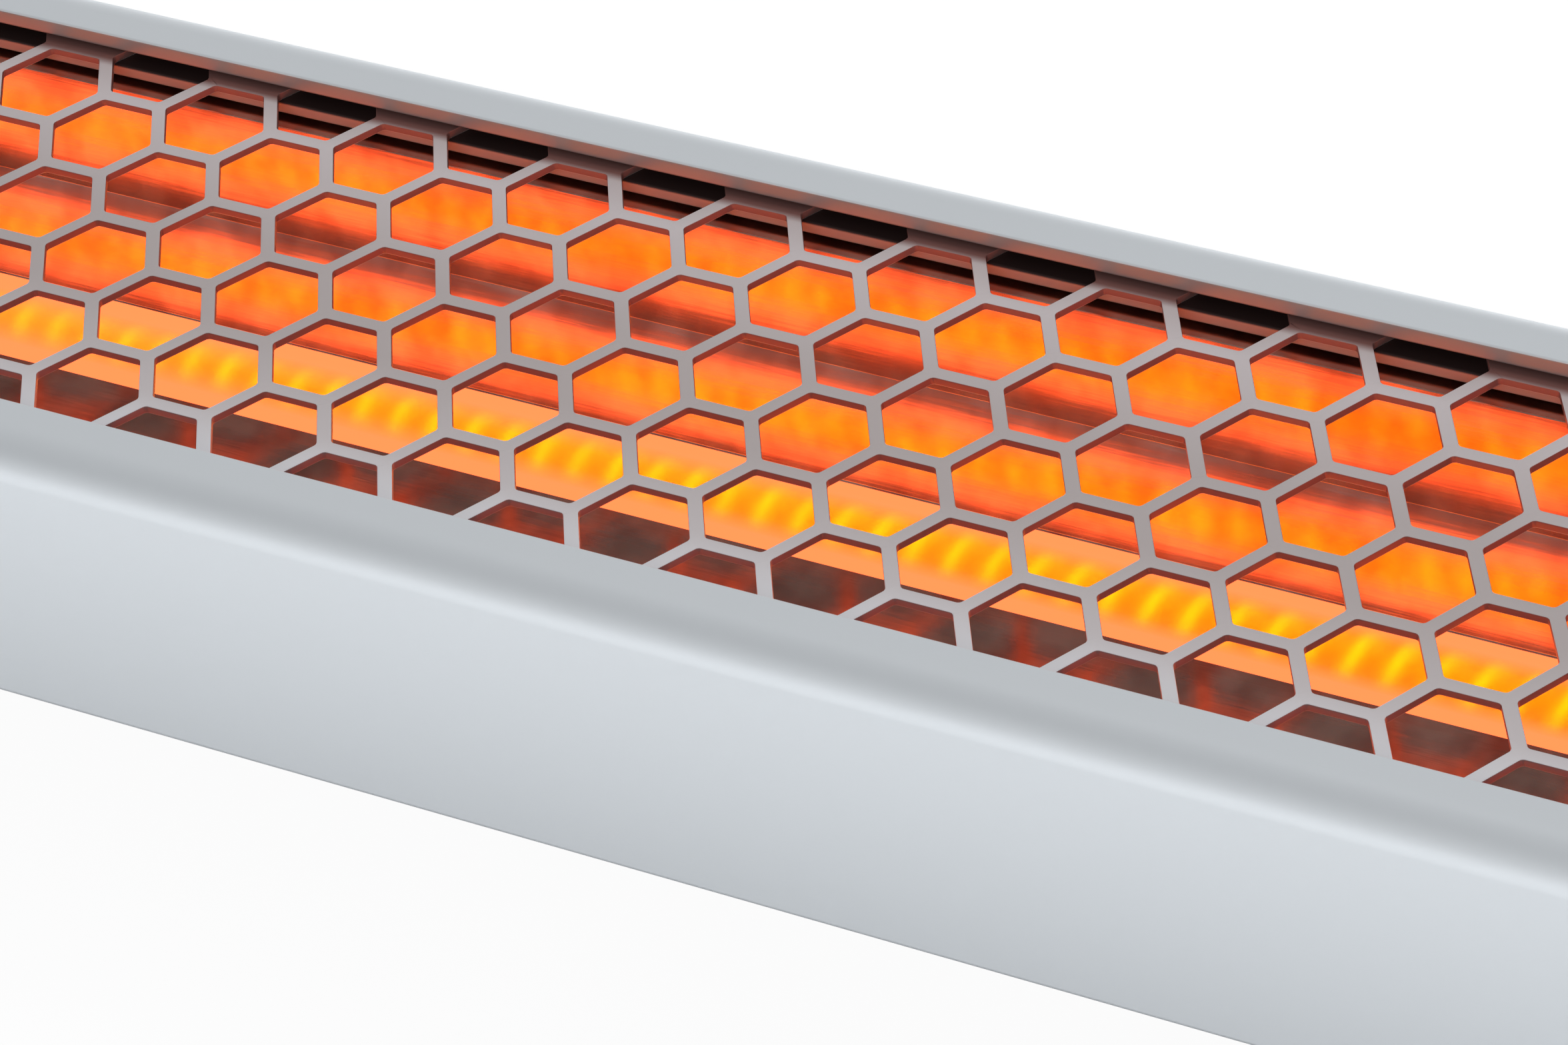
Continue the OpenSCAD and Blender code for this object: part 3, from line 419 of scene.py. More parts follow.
def moulded(name, colour, roughness, grain_mm=0.3, bump=0.12, relief_mm=0.04, rough_range=0.08):
    """A moulded plastic or rubber. Its spark-eroded tool leaves a grain that dulls the gloss.

    The grain is about 0.05 mm wide in life, and is drawn coarser than that, so that it shows.
    """
    made, tree = material(name)
    place = add(tree, "ShaderNodeTexCoord").outputs["Object"]
    grain = add(tree, "ShaderNodeTexNoise", {"Vector": place}, Scale=1 / (grain_mm * MM), Detail=3.0)
    lift = add(tree, "ShaderNodeBump", {"Height": grain}, Strength=bump, Distance=relief_mm * MM)
    skin = add(tree, "ShaderNodeBsdfPrincipled", {"Normal": lift}, Base_Color=linear(colour),
               Roughness=roughness)
    if rough_range:
        rough = add(tree, "ShaderNodeMapRange", {0: grain}, To_Min=roughness - rough_range,
                    To_Max=roughness + rough_range)
        tree.links.new(rough.outputs[0], skin.inputs["Roughness"])
    add(tree, "ShaderNodeOutputMaterial", {0: skin})
    return made


# Cast aluminium with a satin coat: as pale as the anodising, with a rounder, grainier surface.
cast = satin_metal("satin_coated_casting", "DDE0E3", metallic=0.70, roughness=0.42, grain_mm=0.4, bump=0.06)
# Silicone rubber, cut from calendered sheet: black, finely pitted, and dull all over.
rubber = moulded("silicone_rubber_sheet", "1C1C1C", roughness=0.62, grain_mm=0.4, bump=0.15, relief_mm=0.03,
                 rough_range=0)
for end in ("left", "right"):
    fit(soften("end_cap_" + end, 0.6, segments=3), cast, "end_cap_" + end)
    fit(soften("end_gasket_" + end, 0.1), rubber, "end_gasket_" + end)


def turned(profile, sides=40, radius_at=None):
    """A solid of revolution about Z, from (radius, height) in millimetres, closed at both ends.

    Where radius_at is given, it changes each radius by its angle, for lobes.
    """
    shell = bmesh.new()
    rings = []
    for r, z in profile:
        ring = []
        for k in range(sides if r else 1):
            a = math.tau * k / sides
            reach = radius_at(r, a) if radius_at and r else r
            ring.append(shell.verts.new((reach * MM * math.cos(a), reach * MM * math.sin(a), z * MM)))
        rings.append(ring)
    for low, high in zip(rings, rings[1:]):
        for k in range(sides):
            j = (k + 1) % sides
            corners = [low[k % len(low)], low[j % len(low)], high[j % len(high)], high[k % len(high)]]
            shell.faces.new(list(dict.fromkeys(corners)))
    mesh = bpy.data.meshes.new("turned")
    shell.to_mesh(mesh)
    shell.free()
    turn_outwards(mesh)
    return mesh


def tree_input(tree, name, kind, value=None):
    """A named input of a node tree, given back as its identifier."""
    made = tree.interface.new_socket(name, in_out="INPUT", socket_type=kind)
    if value is not None:
        made.default_value = value
    return made.identifier


# A grid of like fasteners: this tree sets one screw or rivet at even rows and columns.
fasteners = bpy.data.node_groups.new("grid_of_fasteners", "GeometryNodeTree")
fasteners.interface.new_socket("Geometry", in_out="OUTPUT", socket_type="NodeSocketGeometry")
fastener_inputs = {
    "Fastener": tree_input(fasteners, "Fastener", "NodeSocketObject"),
    "Columns": tree_input(fasteners, "Columns", "NodeSocketInt", 2),
    "Rows": tree_input(fasteners, "Rows", "NodeSocketInt", 2),
    "Column spacing": tree_input(fasteners, "Column spacing", "NodeSocketFloat", 20 * MM),
    "Row spacing": tree_input(fasteners, "Row spacing", "NodeSocketFloat", 20 * MM),
    "Finish": tree_input(fasteners, "Finish", "NodeSocketMaterial")}
given = add(fasteners, "NodeGroupInput").outputs
spans = []
for count, gap in (("Columns", "Column spacing"), ("Rows", "Row spacing")):
    gaps = add(fasteners, "ShaderNodeMath", {0: given[count], 1: 1}, operation="SUBTRACT")
    spans.append(add(fasteners, "ShaderNodeMath", {0: gaps, 1: given[gap]}, operation="MULTIPLY"))
grid = add(fasteners, "GeometryNodeMeshGrid", {
    "Size X": spans[0], "Size Y": spans[1], "Vertices X": given["Columns"], "Vertices Y": given["Rows"]})
master = add(fasteners, "GeometryNodeObjectInfo", {"Object": given["Fastener"]}).outputs["Geometry"]
placed = add(fasteners, "GeometryNodeInstanceOnPoints", {"Points": grid, "Instance": master})
real = add(fasteners, "GeometryNodeRealizeInstances", {0: placed})
coated = add(fasteners, "GeometryNodeSetMaterial", {0: real, "Material": given["Finish"]})
add(fasteners, "NodeGroupOutput", {0: coated})


def joined(name, copies):
    """One mesh of copies of others, from pairs of a mesh and its place."""
    shell = bmesh.new()
    for mesh, place in copies:
        copy = mesh.copy()
        copy.transform(place)
        shell.from_mesh(copy)
    whole = bpy.data.meshes.new(name)
    shell.to_mesh(whole)
    shell.free()
    turn_outwards(whole)
    return whole


def grid_of(name, fastener, columns, rows, column_gap, row_gap, finish, places):
    """The same grid of fasteners at each of its places, as one plain mesh."""
    pattern = link_new(name, bpy.data.meshes.new(name))
    model = link_new("fastener", fastener)
    grown = pattern.modifiers.new("grid", "NODES")
    grown.node_group = fasteners
    for key, value in (("Fastener", model), ("Columns", columns), ("Rows", rows), ("Finish", finish),
                       ("Column spacing", column_gap * MM), ("Row spacing", row_gap * MM)):
        grown[fastener_inputs[key]] = value
    applied(pattern)
    bpy.data.objects.remove(model)
    pattern.data = joined(name, [(pattern.data, place) for place in places])
    return shaded(pattern)


def at(x, y, z, towards):
    """Turns something that stands along Z to stand along another axis, then puts it in its place."""
    axes = {"+x": ((0, 0, 1), (0, 1, 0), (-1, 0, 0)), "-x": ((0, 0, -1), (0, 1, 0), (1, 0, 0)),
            "-z": ((1, 0, 0), (0, -1, 0), (0, 0, -1))}[towards]
    return Matrix([row + (shift * MM,) for row, shift in zip(axes, (x, y, z))] + [(0, 0, 0, 1)])


def plate_metal(name, dull, bright, roughness=0.3):
    """A plated or turned metal: the bath or the tool leaves a soft mottle in its colour and gloss."""
    mottle_mm, rough_range = 1.43, 0.08
    made, tree = material(name)
    place = add(tree, "ShaderNodeTexCoord").outputs["Object"]
    cloud = add(tree, "ShaderNodeTexNoise", {"Vector": place}, Scale=1 / (mottle_mm * MM), Detail=4.0)
    tint = add(tree, "ShaderNodeValToRGB", {0: cloud}, stops=((0.3, dull), (0.7, bright)))
    rough = add(tree, "ShaderNodeMapRange", {0: cloud}, To_Min=roughness - rough_range,
                To_Max=roughness + rough_range)
    skin = add(tree, "ShaderNodeBsdfPrincipled", {"Base Color": tint, "Roughness": rough}, Metallic=1.0)
    add(tree, "ShaderNodeOutputMaterial", {0: skin})
    return made


# Bright zinc plate: a clear grey shine, clouded where the bath ran thin.
zinc = plate_metal("bright_zinc_plate", "C0C0BD", "C9C9C6")
socket_screw = turned([(0, -16), (1.7, -14), (1.7, 0), (3.3, 0), (3.6, 0.3), (3.6, 2.2), (3.2, 2.8),
                       (1.9, 2.8), (1.7, 1.4), (0, 1.2)])
screw_seat_x = 336.5
port_gap, port_middle = port_zs[1] - port_zs[0], sum(port_zs) / 2
fit(grid_of("end_cap_screws_shaped", socket_screw, 2, 2, port_gap, 2 * port_y, zinc,
            [at(screw_seat_x, 0, port_middle, "+x"), at(-screw_seat_x, 0, port_middle, "-x")]),
    zinc, "end_cap_screws")

# ---- Guard ----
# A steel sheet stamped with even rows of hexagons, and two blanking plates over the wiring spaces.
# All of it is coated before it slides into the casing's grooves.

# The guard's tree lays a grid of points, cuts a hexagon round each, and gives the sheet its
# thickness.
guard_thickness = 1.5
honeycomb = bpy.data.node_groups.new("honeycomb_guard", "GeometryNodeTree")
honeycomb.interface.new_socket("Geometry", in_out="OUTPUT", socket_type="NodeSocketGeometry")
guard_finish = tree_input(honeycomb, "Finish", "NodeSocketMaterial")
for name, kind, value in (
        ("Cell", "NodeSocketFloat", 20 * MM),
        ("Strut", "NodeSocketFloat", 2.5 * MM),
        ("Corner radius", "NodeSocketFloat", 0.9 * MM),
        ("Columns", "NodeSocketInt", 31),
        ("Rows", "NodeSocketInt", 5),
        ("Length", "NodeSocketFloat", 552 * MM),
        ("Width", "NodeSocketFloat", 112.8 * MM),
        ("Thickness", "NodeSocketFloat", guard_thickness * MM)):
    tree_input(honeycomb, name, kind, value)
given = add(honeycomb, "NodeGroupInput").outputs
column_pitch = add(honeycomb, "ShaderNodeMath", {0: given["Cell"], 1: math.sqrt(3) / 2}, operation="MULTIPLY")
column_gaps = add(honeycomb, "ShaderNodeMath", {0: given["Columns"], 1: 1}, operation="SUBTRACT")
row_gaps = add(honeycomb, "ShaderNodeMath", {0: given["Rows"], 1: 1}, operation="SUBTRACT")
length = add(honeycomb, "ShaderNodeMath", {0: column_pitch, 1: column_gaps}, operation="MULTIPLY")
width = add(honeycomb, "ShaderNodeMath", {0: given["Cell"], 1: row_gaps}, operation="MULTIPLY")
grid = add(honeycomb, "GeometryNodeMeshGrid", {
    "Size X": length, "Size Y": width, "Vertices X": given["Columns"], "Vertices Y": given["Rows"]})

# Odd columns sit half a cell to one side of even ones.
where = add(honeycomb, "GeometryNodeInputPosition")
axes = add(honeycomb, "ShaderNodeSeparateXYZ", {0: where}).outputs
steps_along = add(honeycomb, "ShaderNodeMath", {0: axes["X"], 1: column_pitch}, operation="DIVIDE")
column = add(honeycomb, "ShaderNodeMath", {0: steps_along}, operation="ROUND")
unsigned = add(honeycomb, "ShaderNodeMath", {0: column}, operation="ABSOLUTE")
odd = add(honeycomb, "ShaderNodeMath", {0: unsigned, 1: 2}, operation="MODULO")
half_steps = add(honeycomb, "ShaderNodeMath", {0: odd, 1: -0.5, 2: 0.25}, operation="MULTIPLY_ADD")
shift = add(honeycomb, "ShaderNodeMath", {0: given["Cell"], 1: half_steps}, operation="MULTIPLY")
stagger = add(honeycomb, "ShaderNodeCombineXYZ", {"Y": shift})
centres = add(honeycomb, "GeometryNodeSetPosition", {0: grid, "Offset": stagger})

# A hexagon of the cell less one strut is cut at each centre, with round corners.
flats = add(honeycomb, "ShaderNodeMath", {0: given["Cell"], 1: given["Strut"]}, operation="SUBTRACT")
hexagon_r = add(honeycomb, "ShaderNodeMath", {0: flats, 1: math.sqrt(3)}, operation="DIVIDE")
hexagon = add(honeycomb, "GeometryNodeCurvePrimitiveCircle", {"Radius": hexagon_r}, Resolution=6)
round_hexagon = add(honeycomb, "GeometryNodeFilletCurve", {0: hexagon, "Radius": given["Corner radius"]},
                    mode="POLY", Count=4)
openings = add(honeycomb, "GeometryNodeInstanceOnPoints", {"Points": centres, "Instance": round_hexagon})
loose = add(honeycomb, "GeometryNodeRealizeInstances", {0: openings})
plate = add(honeycomb, "GeometryNodeCurvePrimitiveQuadrilateral", {"Width": given["Length"],
                                                                   "Height": given["Width"]})
outlines = add(honeycomb, "GeometryNodeJoinGeometry", {0: [plate, loose]})
sheet = add(honeycomb, "GeometryNodeFillCurve", {0: outlines})
rise = add(honeycomb, "ShaderNodeCombineXYZ", {"Z": given["Thickness"]})
thick = add(honeycomb, "GeometryNodeExtrudeMesh", {0: sheet, "Offset": rise}, Individual=False)
underside = add(honeycomb, "GeometryNodeFlipFaces", {0: sheet})
both = add(honeycomb, "GeometryNodeJoinGeometry", {0: [thick, underside]})
closed = add(honeycomb, "GeometryNodeMergeByDistance", {0: both}, Distance=0.01 * MM)
real = add(honeycomb, "GeometryNodeRealizeInstances", {0: closed})
coated = add(honeycomb, "GeometryNodeSetMaterial", {0: real, "Material": given["Finish"]})
add(honeycomb, "NodeGroupOutput", {0: coated})

# Grey heat-proof coat, sprayed and stoved: satin, with a fine orange peel. Over the bar its face
# holds painted light along the near edge, a warmer painted shade over the middle and a dark painted
# shadow under the far rim; its cut walls hold a reddish-brown painted glow of the bar and painted
# shade. The underside is a paler white. Both ramps of colours run across the guard, from its near
# edge to its far one.
coat_metallic, coat_roughness, peel_mm = 0.55, 0.42, 0.5
painted_width = 120
bar_end, plain_end = 235, 275
grey_coat, tree = material("grey_heatproof_coat")
place = add(tree, "ShaderNodeTexCoord").outputs["Object"]
axes = add(tree, "ShaderNodeSeparateXYZ", {0: place}).outputs
across = add(tree, "ShaderNodeMath", {0: axes["Y"], 1: 1 / (painted_width * MM), 2: 0.5},
             operation="MULTIPLY_ADD")
through = add(tree, "ShaderNodeMath", {
    0: axes["Z"], 1: 1 / (guard_thickness * MM), 2: -groove_low / guard_thickness}, operation="MULTIPLY_ADD")
# Painted light along the near edge, a warmer painted shade over the middle, and a dark painted shadow under
# the far rim.
face = add(tree, "ShaderNodeValToRGB", {0: across}, stops=(
    (0.10, "EEEFF3"), (0.225, "CEC6C6"), (0.40, "BCB2B0"), (0.56, "BDB3B1"), (0.79, "D0C6C6"),
    (0.855, "C4B8B7"), (0.87, "865E58")))
along = add(tree, "ShaderNodeMath", {0: axes["X"]}, operation="ABSOLUTE")
past_bar = add(tree, "ShaderNodeMapRange", {0: along}, From_Min=bar_end * MM, From_Max=plain_end * MM)
# Past the bar the face turns to the plain coat, without painted light or shade.
plain_face_past_bar = add(tree, "ShaderNodeMix", {0: past_bar, 6: face, 7: linear("CCCCCD")}, data_type="RGBA")
# The cut walls: a reddish-brown painted glow of the bar, and painted shade.
wall = add(tree, "ShaderNodeValToRGB", {0: across}, stops=(
    (0.10, "A4989C"), (0.24, "8C6660"), (0.50, "885850"), (0.90, "8C6660")))
at_bottom = add(tree, "ShaderNodeValToRGB", {0: through}, stops=((0.04, "FFFFFF"), (0.10, "000000")))
at_top = add(tree, "ShaderNodeValToRGB", {0: through}, stops=((0.93, "000000"), (0.97, "FFFFFF")))
back_coat = add(tree, "ShaderNodeMix", {0: at_bottom, 6: wall, 7: linear("F4EAE6")}, data_type="RGBA")
coat = add(tree, "ShaderNodeMix", {0: at_top, 6: back_coat.outputs[2], 7: plain_face_past_bar.outputs[2]},
           data_type="RGBA")
peel = add(tree, "ShaderNodeTexNoise", {"Vector": place}, Scale=1 / (peel_mm * MM), Detail=2.0)
lift = add(tree, "ShaderNodeBump", {"Height": peel}, Strength=0.05, Distance=0.02 * MM)
skin = add(tree, "ShaderNodeBsdfPrincipled", {"Normal": lift, "Base Color": coat.outputs[2]},
           Metallic=coat_metallic, Roughness=coat_roughness)
add(tree, "ShaderNodeOutputMaterial", {0: skin})

guard = link_new("guard_shaped", bpy.data.meshes.new("guard"))
grown = guard.modifiers.new("honeycomb", "NODES")
grown.node_group = honeycomb
grown[guard_finish] = grey_coat
applied(guard)
guard.data.transform(Matrix.Translation((0, 0, groove_low * MM)))
turn_outwards(guard.data)
worn = guard.modifiers.new("worn_edges", "BEVEL")
worn.width = 0.2 * MM
worn.segments = 2
worn.limit_method = "ANGLE"
worn.angle_limit = math.radians(60)
worn.use_clamp_overlap = False
fit(shaded(applied(guard)), grey_coat, "guard")

# The same coat on the blanking plates, which lie past the bar and are even in colour, without the guard's
# painted light and shade.
blank_coat = satin_metal("grey_coated_blank", "CCCCCD", coat_metallic, coat_roughness, peel_mm, bump=0.05)
for end in ("left", "right"):
    fit(soften("front_blank_" + end, 0.35), blank_coat, "front_blank_" + end)

# ---- Reflector ----
# One folded sheet of bright-rolled aluminium. Its flanges slide into the casing's slots, and its
# four facets and base send the bar's light forwards.


def sheet_outline(points, thickness, fold):
    """The closed outline of a folded sheet under a line of points, with round folds."""
    points = [Vector(p) for p in points]
    ends = (0, len(points) - 1)
    below = []
    for i, here in enumerate(points):
        before = max(0, i - 1)
        legs = [(b - a).normalized() for a, b in zip(points[before:i + 1], points[before + 1:i + 2])]
        total = sum([Vector((leg.y, -leg.x)) for leg in legs], Vector((0, 0)))
        below.append(here + thickness * (total * len(legs) / total.length_squared))
    top = [(p.x, p.y, 0 if i in ends else fold) for i, p in enumerate(points)]
    low = [(p.x, p.y, 0 if i in ends else fold + thickness) for i, p in enumerate(below)]
    return rounded(top + low[::-1], steps=4)


# Rolled aluminium, bright and a little waved: it gives soft images of the bar, drawn out along the
# rolling, whose lines are coarser here than the real 0.2 mm. Its colour is tinted salmon in soft blotches.
rolled_mm, rolled_stretch, wave_mm, blotch_mm = 1.1, 20, 14, 9
bright_sheet, tree = material("bright_rolled_aluminium_salmon_tinted")
place = add(tree, "ShaderNodeTexCoord").outputs["Object"]
along = add(tree, "ShaderNodeMapping", {0: place}, Scale=(1 / rolled_stretch, 1, 1))
rolled = add(tree, "ShaderNodeTexNoise", {"Vector": along}, Scale=1 / (rolled_mm * MM), Detail=2.0)
wave = add(tree, "ShaderNodeTexNoise", {"Vector": place}, Scale=1 / (wave_mm * MM), Detail=1.0)
lift = add(tree, "ShaderNodeBump", {"Height": wave}, Strength=0.25, Distance=0.4 * MM)
lines = add(tree, "ShaderNodeBump", {"Height": rolled, "Normal": lift}, Strength=0.35, Distance=0.03 * MM)
blotch = add(tree, "ShaderNodeTexNoise", {"Vector": place}, Scale=1 / (blotch_mm * MM), Detail=2.0)
tint = add(tree, "ShaderNodeValToRGB", {0: blotch}, stops=((0.36, "E0B2A4"), (0.62, "FFD8C8")))
skin = add(tree, "ShaderNodeBsdfPrincipled", {"Normal": lines, "Base Color": tint}, Metallic=1.0,
           Roughness=0.14)
add(tree, "ShaderNodeOutputMaterial", {0: skin})

# Half of the sheet's upper side: the edge of its flange, then its three folds.
mirror_length, sheet_thickness, fold_r = 544, 0.6, 0.2
flange_z = slot_low + sheet_thickness
mirror_half = [(56.4, flange_z), (42.4, flange_z), (37.3, 79.5), (27.3, 63)]
mirror_line = [(-y, z) for y, z in mirror_half] + mirror_half[::-1]
folded = extruded("reflector_shaped", [sheet_outline(mirror_line, sheet_thickness, fold_r)], mirror_length)
fit(shaded(folded), bright_sheet, "reflector")

# ---- Bulkheads and heat shield ----
# Pressed zinc-coated steel holds the element's ends, and a shield of it lies under the reflector.
# Rivets with low round heads hold the bulkheads to the casing's floor.

# Hot-dip galvanised sheet: the zinc freezes in spangles a few millimetres wide, each with its own
# shade and gloss.
spangle_mm = 5
spangled, tree = material("spangled_galvanised_sheet")
place = add(tree, "ShaderNodeTexCoord").outputs["Object"]
crystals = add(tree, "ShaderNodeTexVoronoi", {"Vector": place}, Scale=1 / (spangle_mm * MM)).outputs["Color"]
shade = add(tree, "ShaderNodeValToRGB", {0: crystals}, stops=((0, "BFBFBF"), (1, "DDDDDD")))
rough = add(tree, "ShaderNodeMapRange", {0: crystals}, To_Min=0.3, To_Max=0.5)
skin = add(tree, "ShaderNodeBsdfPrincipled", {"Base Color": shade, "Roughness": rough}, Metallic=0.9)
add(tree, "ShaderNodeOutputMaterial", {0: skin})
for node, width in (("bulkhead_left", 0.15), ("bulkhead_right", 0.15), ("heat_shield", 0.12)):
    fit(soften(node, width), spangled, node)

rivet_gap_x, rivet_gap_y, rivet_head_z = 559, 60, 49
dome_rivet = turned([(0, -5), (3.0, -5), (3.2, -4.8), (3.2, -4.1), (1.6, -4.0), (1.6, -1), (3.2, -0.95),
                     (3.2, -0.7), (2.5, -0.25), (1.5, -0.05), (0, 0)])
fit(grid_of("bulkhead_rivets_shaped", dome_rivet, 2, 2, rivet_gap_x, rivet_gap_y, zinc,
            [at(0, 0, rivet_head_z, "-z")]), zinc, "bulkhead_rivets")

# ---- Quartz tube ----
# A tube drawn from fused quartz, cut to length and etched to a satin skin. Ceramic caps hold its
# two ends.

# Satin fused quartz: the skin scatters the coil's light, so the coil shows as a soft yellow band
# and the tube's edges, where the eye looks along the skin, glow salmon.
satin_quartz, tree = material("satin_fused_quartz")
facing = add(tree, "ShaderNodeLayerWeight", Blend=0.4).outputs["Facing"]
edge = add(tree, "ShaderNodeMapRange", {0: facing}, From_Min=0.10, From_Max=0.29, To_Min=0.0, To_Max=0.93)
glass = add(tree, "ShaderNodeBsdfPrincipled", Base_Color=linear("FFE46F"), Transmission_Weight=1.0,
            Roughness=0.9, IOR=1.35, Specular_Tint=linear("FFCB3F"))
glow = add(tree, "ShaderNodeEmission", Color=linear("FF6B3D"), Strength=2.4)
tube = add(tree, "ShaderNodeMixShader", {0: edge, 1: glass, 2: glow})
add(tree, "ShaderNodeOutputMaterial", {0: tube})

axis_z = 80.4
tube_length, tube_r, tube_bore_r, tube_sides = 516, 7, 5.9, 96
tube_rings = [circle(0, axis_z, r, tube_sides) for r in (tube_r, tube_bore_r)]
fit(shaded(extruded("quartz_tube_shaped", tube_rings, tube_length)), satin_quartz, "quartz_tube")

# ---- Heating coil ----
# One wire of resistance alloy, wound tight on a rod and stretched to its pitch. Its straight tails
# run into the terminal pins.

# The coil's tree bends a straight line of points into a helix and gives it the wire's thickness.
winding = bpy.data.node_groups.new("heating_coil", "GeometryNodeTree")
winding.interface.new_socket("Geometry", in_out="OUTPUT", socket_type="NodeSocketGeometry")
coil_finish = tree_input(winding, "Finish", "NodeSocketMaterial")
for name, kind, value in (
        ("Turns", "NodeSocketInt", 64),
        ("Pitch", "NodeSocketFloat", 7 * MM),
        ("Coil radius", "NodeSocketFloat", 3.15 * MM),
        ("Wire radius", "NodeSocketFloat", 0.6 * MM),
        ("Tail", "NodeSocketFloat", 14 * MM),
        ("Points", "NodeSocketInt", 1900)):
    tree_input(winding, name, kind, value)
given = add(winding, "NodeGroupInput").outputs
wound = add(winding, "ShaderNodeMath", {0: given["Turns"], 1: given["Pitch"]}, operation="MULTIPLY")
half_length = add(winding, "ShaderNodeMath", {0: wound, 1: 0.5, 2: given["Tail"]}, operation="MULTIPLY_ADD")
minus_half = add(winding, "ShaderNodeMath", {0: half_length, 1: -1}, operation="MULTIPLY")
first = add(winding, "ShaderNodeCombineXYZ", {"X": minus_half})
last = add(winding, "ShaderNodeCombineXYZ", {"X": half_length})
line = add(winding, "GeometryNodeCurvePrimitiveLine", {"Start": first, "End": last})
steps = add(winding, "GeometryNodeResampleCurve", {0: line, "Count": given["Points"]})

# Each point of the line swings out to its place on the helix, by the turns wound up to there.
where = add(winding, "GeometryNodeInputPosition")
axes = add(winding, "ShaderNodeSeparateXYZ", {0: where}).outputs
from_middle = add(winding, "ShaderNodeMath", {0: axes["X"], 1: given["Pitch"]}, operation="DIVIDE")
from_start = add(winding, "ShaderNodeMath", {0: given["Turns"], 1: 0.5, 2: from_middle},
                 operation="MULTIPLY_ADD")
not_before = add(winding, "ShaderNodeMath", {0: from_start, 1: 0}, operation="MAXIMUM")
turn = add(winding, "ShaderNodeMath", {0: not_before, 1: given["Turns"]}, operation="MINIMUM")

# Over its first and last turn the coil opens from the axis to its full radius.
to_end = add(winding, "ShaderNodeMath", {0: given["Turns"], 1: turn}, operation="SUBTRACT")
nearest_end = add(winding, "ShaderNodeMath", {0: turn, 1: to_end}, operation="MINIMUM")
opened = add(winding, "ShaderNodeMath", {0: nearest_end, 1: 1}, operation="MINIMUM")
opening_angle = add(winding, "ShaderNodeMath", {0: opened, 1: math.pi / 2}, operation="MULTIPLY")
share = add(winding, "ShaderNodeMath", {0: opening_angle}, operation="SINE")
radius = add(winding, "ShaderNodeMath", {0: given["Coil radius"], 1: share}, operation="MULTIPLY")
angle = add(winding, "ShaderNodeMath", {0: turn, 1: -math.tau}, operation="MULTIPLY")
cosine = add(winding, "ShaderNodeMath", {0: angle}, operation="COSINE")
sine = add(winding, "ShaderNodeMath", {0: angle}, operation="SINE")
sideways = add(winding, "ShaderNodeMath", {0: radius, 1: cosine}, operation="MULTIPLY")
upwards = add(winding, "ShaderNodeMath", {0: radius, 1: sine}, operation="MULTIPLY")
helix = add(winding, "ShaderNodeCombineXYZ", {"Y": sideways, "Z": upwards})
wrapped = add(winding, "GeometryNodeSetPosition", {0: steps, "Offset": helix})
wire = add(winding, "GeometryNodeCurvePrimitiveCircle", {"Radius": given["Wire radius"]}, Resolution=10)
drawn = add(winding, "GeometryNodeCurveToMesh", {"Curve": wrapped, "Profile Curve": wire}, Fill_Caps=True)
real = add(winding, "GeometryNodeRealizeInstances", {0: drawn})
smooth = add(winding, "GeometryNodeSetShadeSmooth", {0: real})
coated = add(winding, "GeometryNodeSetMaterial", {0: smooth, "Material": given["Finish"]})
add(winding, "NodeGroupOutput", {0: coated})

# Resistance alloy at full heat: yellow-orange light, a little uneven from turn to turn.
uneven_mm = 9
hot_wire, tree = material("resistance_alloy_at_full_heat")
place = add(tree, "ShaderNodeTexCoord").outputs["Object"]
uneven = add(tree, "ShaderNodeTexNoise", {"Vector": place}, Scale=1 / (uneven_mm * MM), Detail=1.0)
heat = add(tree, "ShaderNodeValToRGB", {0: uneven}, stops=((0.3, "FFB500"), (0.7, "FFC80A")))
glow = add(tree, "ShaderNodeEmission", {0: heat}, Strength=3.0)
add(tree, "ShaderNodeOutputMaterial", {0: glow})

coil = link_new("heating_coil_shaped", bpy.data.meshes.new("coil"))
grown = coil.modifiers.new("winding", "NODES")
grown.node_group = winding
grown[coil_finish] = hot_wire
applied(coil)
coil.data.transform(Matrix.Translation((0, 0, axis_z * MM)))
turn_outwards(coil.data, merge_mm=0.0001)
fit(coil, hot_wire, "heating_coil")

# ---- Ceramic caps, pins and clips ----
# Pressed and fired steatite holds each end of the tube. Spring clips hold the caps to the
# bulkheads, and plated pins carry the coil's tails out to the leads.

# Unglazed steatite, pressed and fired: a warm white with a fine speckle and a dry, matt skin. The
# speckle is drawn coarser than the real 0.1 mm, so that it shows.
speck_mm = 0.6
steatite, tree = material("unglazed_steatite")
place = add(tree, "ShaderNodeTexCoord").outputs["Object"]
speck = add(tree, "ShaderNodeTexNoise", {"Vector": place}, Scale=1 / (speck_mm * MM), Detail=4.0)
body = add(tree, "ShaderNodeValToRGB", {0: speck}, stops=((0.35, "DDD5C4"), (0.65, "EFE9DC")))
lift = add(tree, "ShaderNodeBump", {"Height": speck}, Strength=0.2, Distance=0.03 * MM)
skin = add(tree, "ShaderNodeBsdfPrincipled", {"Base Color": body, "Normal": lift}, Roughness=0.7)
add(tree, "ShaderNodeOutputMaterial", {0: skin})
for end in ("left", "right"):
    fit(soften("ceramic_cap_" + end, 0.5, segments=3), steatite, "ceramic_cap_" + end)

# Rolled spring steel: darker than the zinc, with a more even shine.
spring = satin_metal("rolled_spring_steel", "9A9A9C", metallic=1.0, roughness=0.34, grain_mm=0.25, bump=0.02)
fit(soften("ceramic_clips", 0.12), spring, "ceramic_clips")
for node in ("terminal_pins", "terminal_nuts", "clip_screws"):
    fit(soften(node, 0.15), zinc, node)

# ---- Terminal block and leads ----
# A block moulded in polyamide takes the cable's cores under brass screws, and one more screw holds
# it. Copper leads in silicone run from it to the pins, and one to the casing for earth.

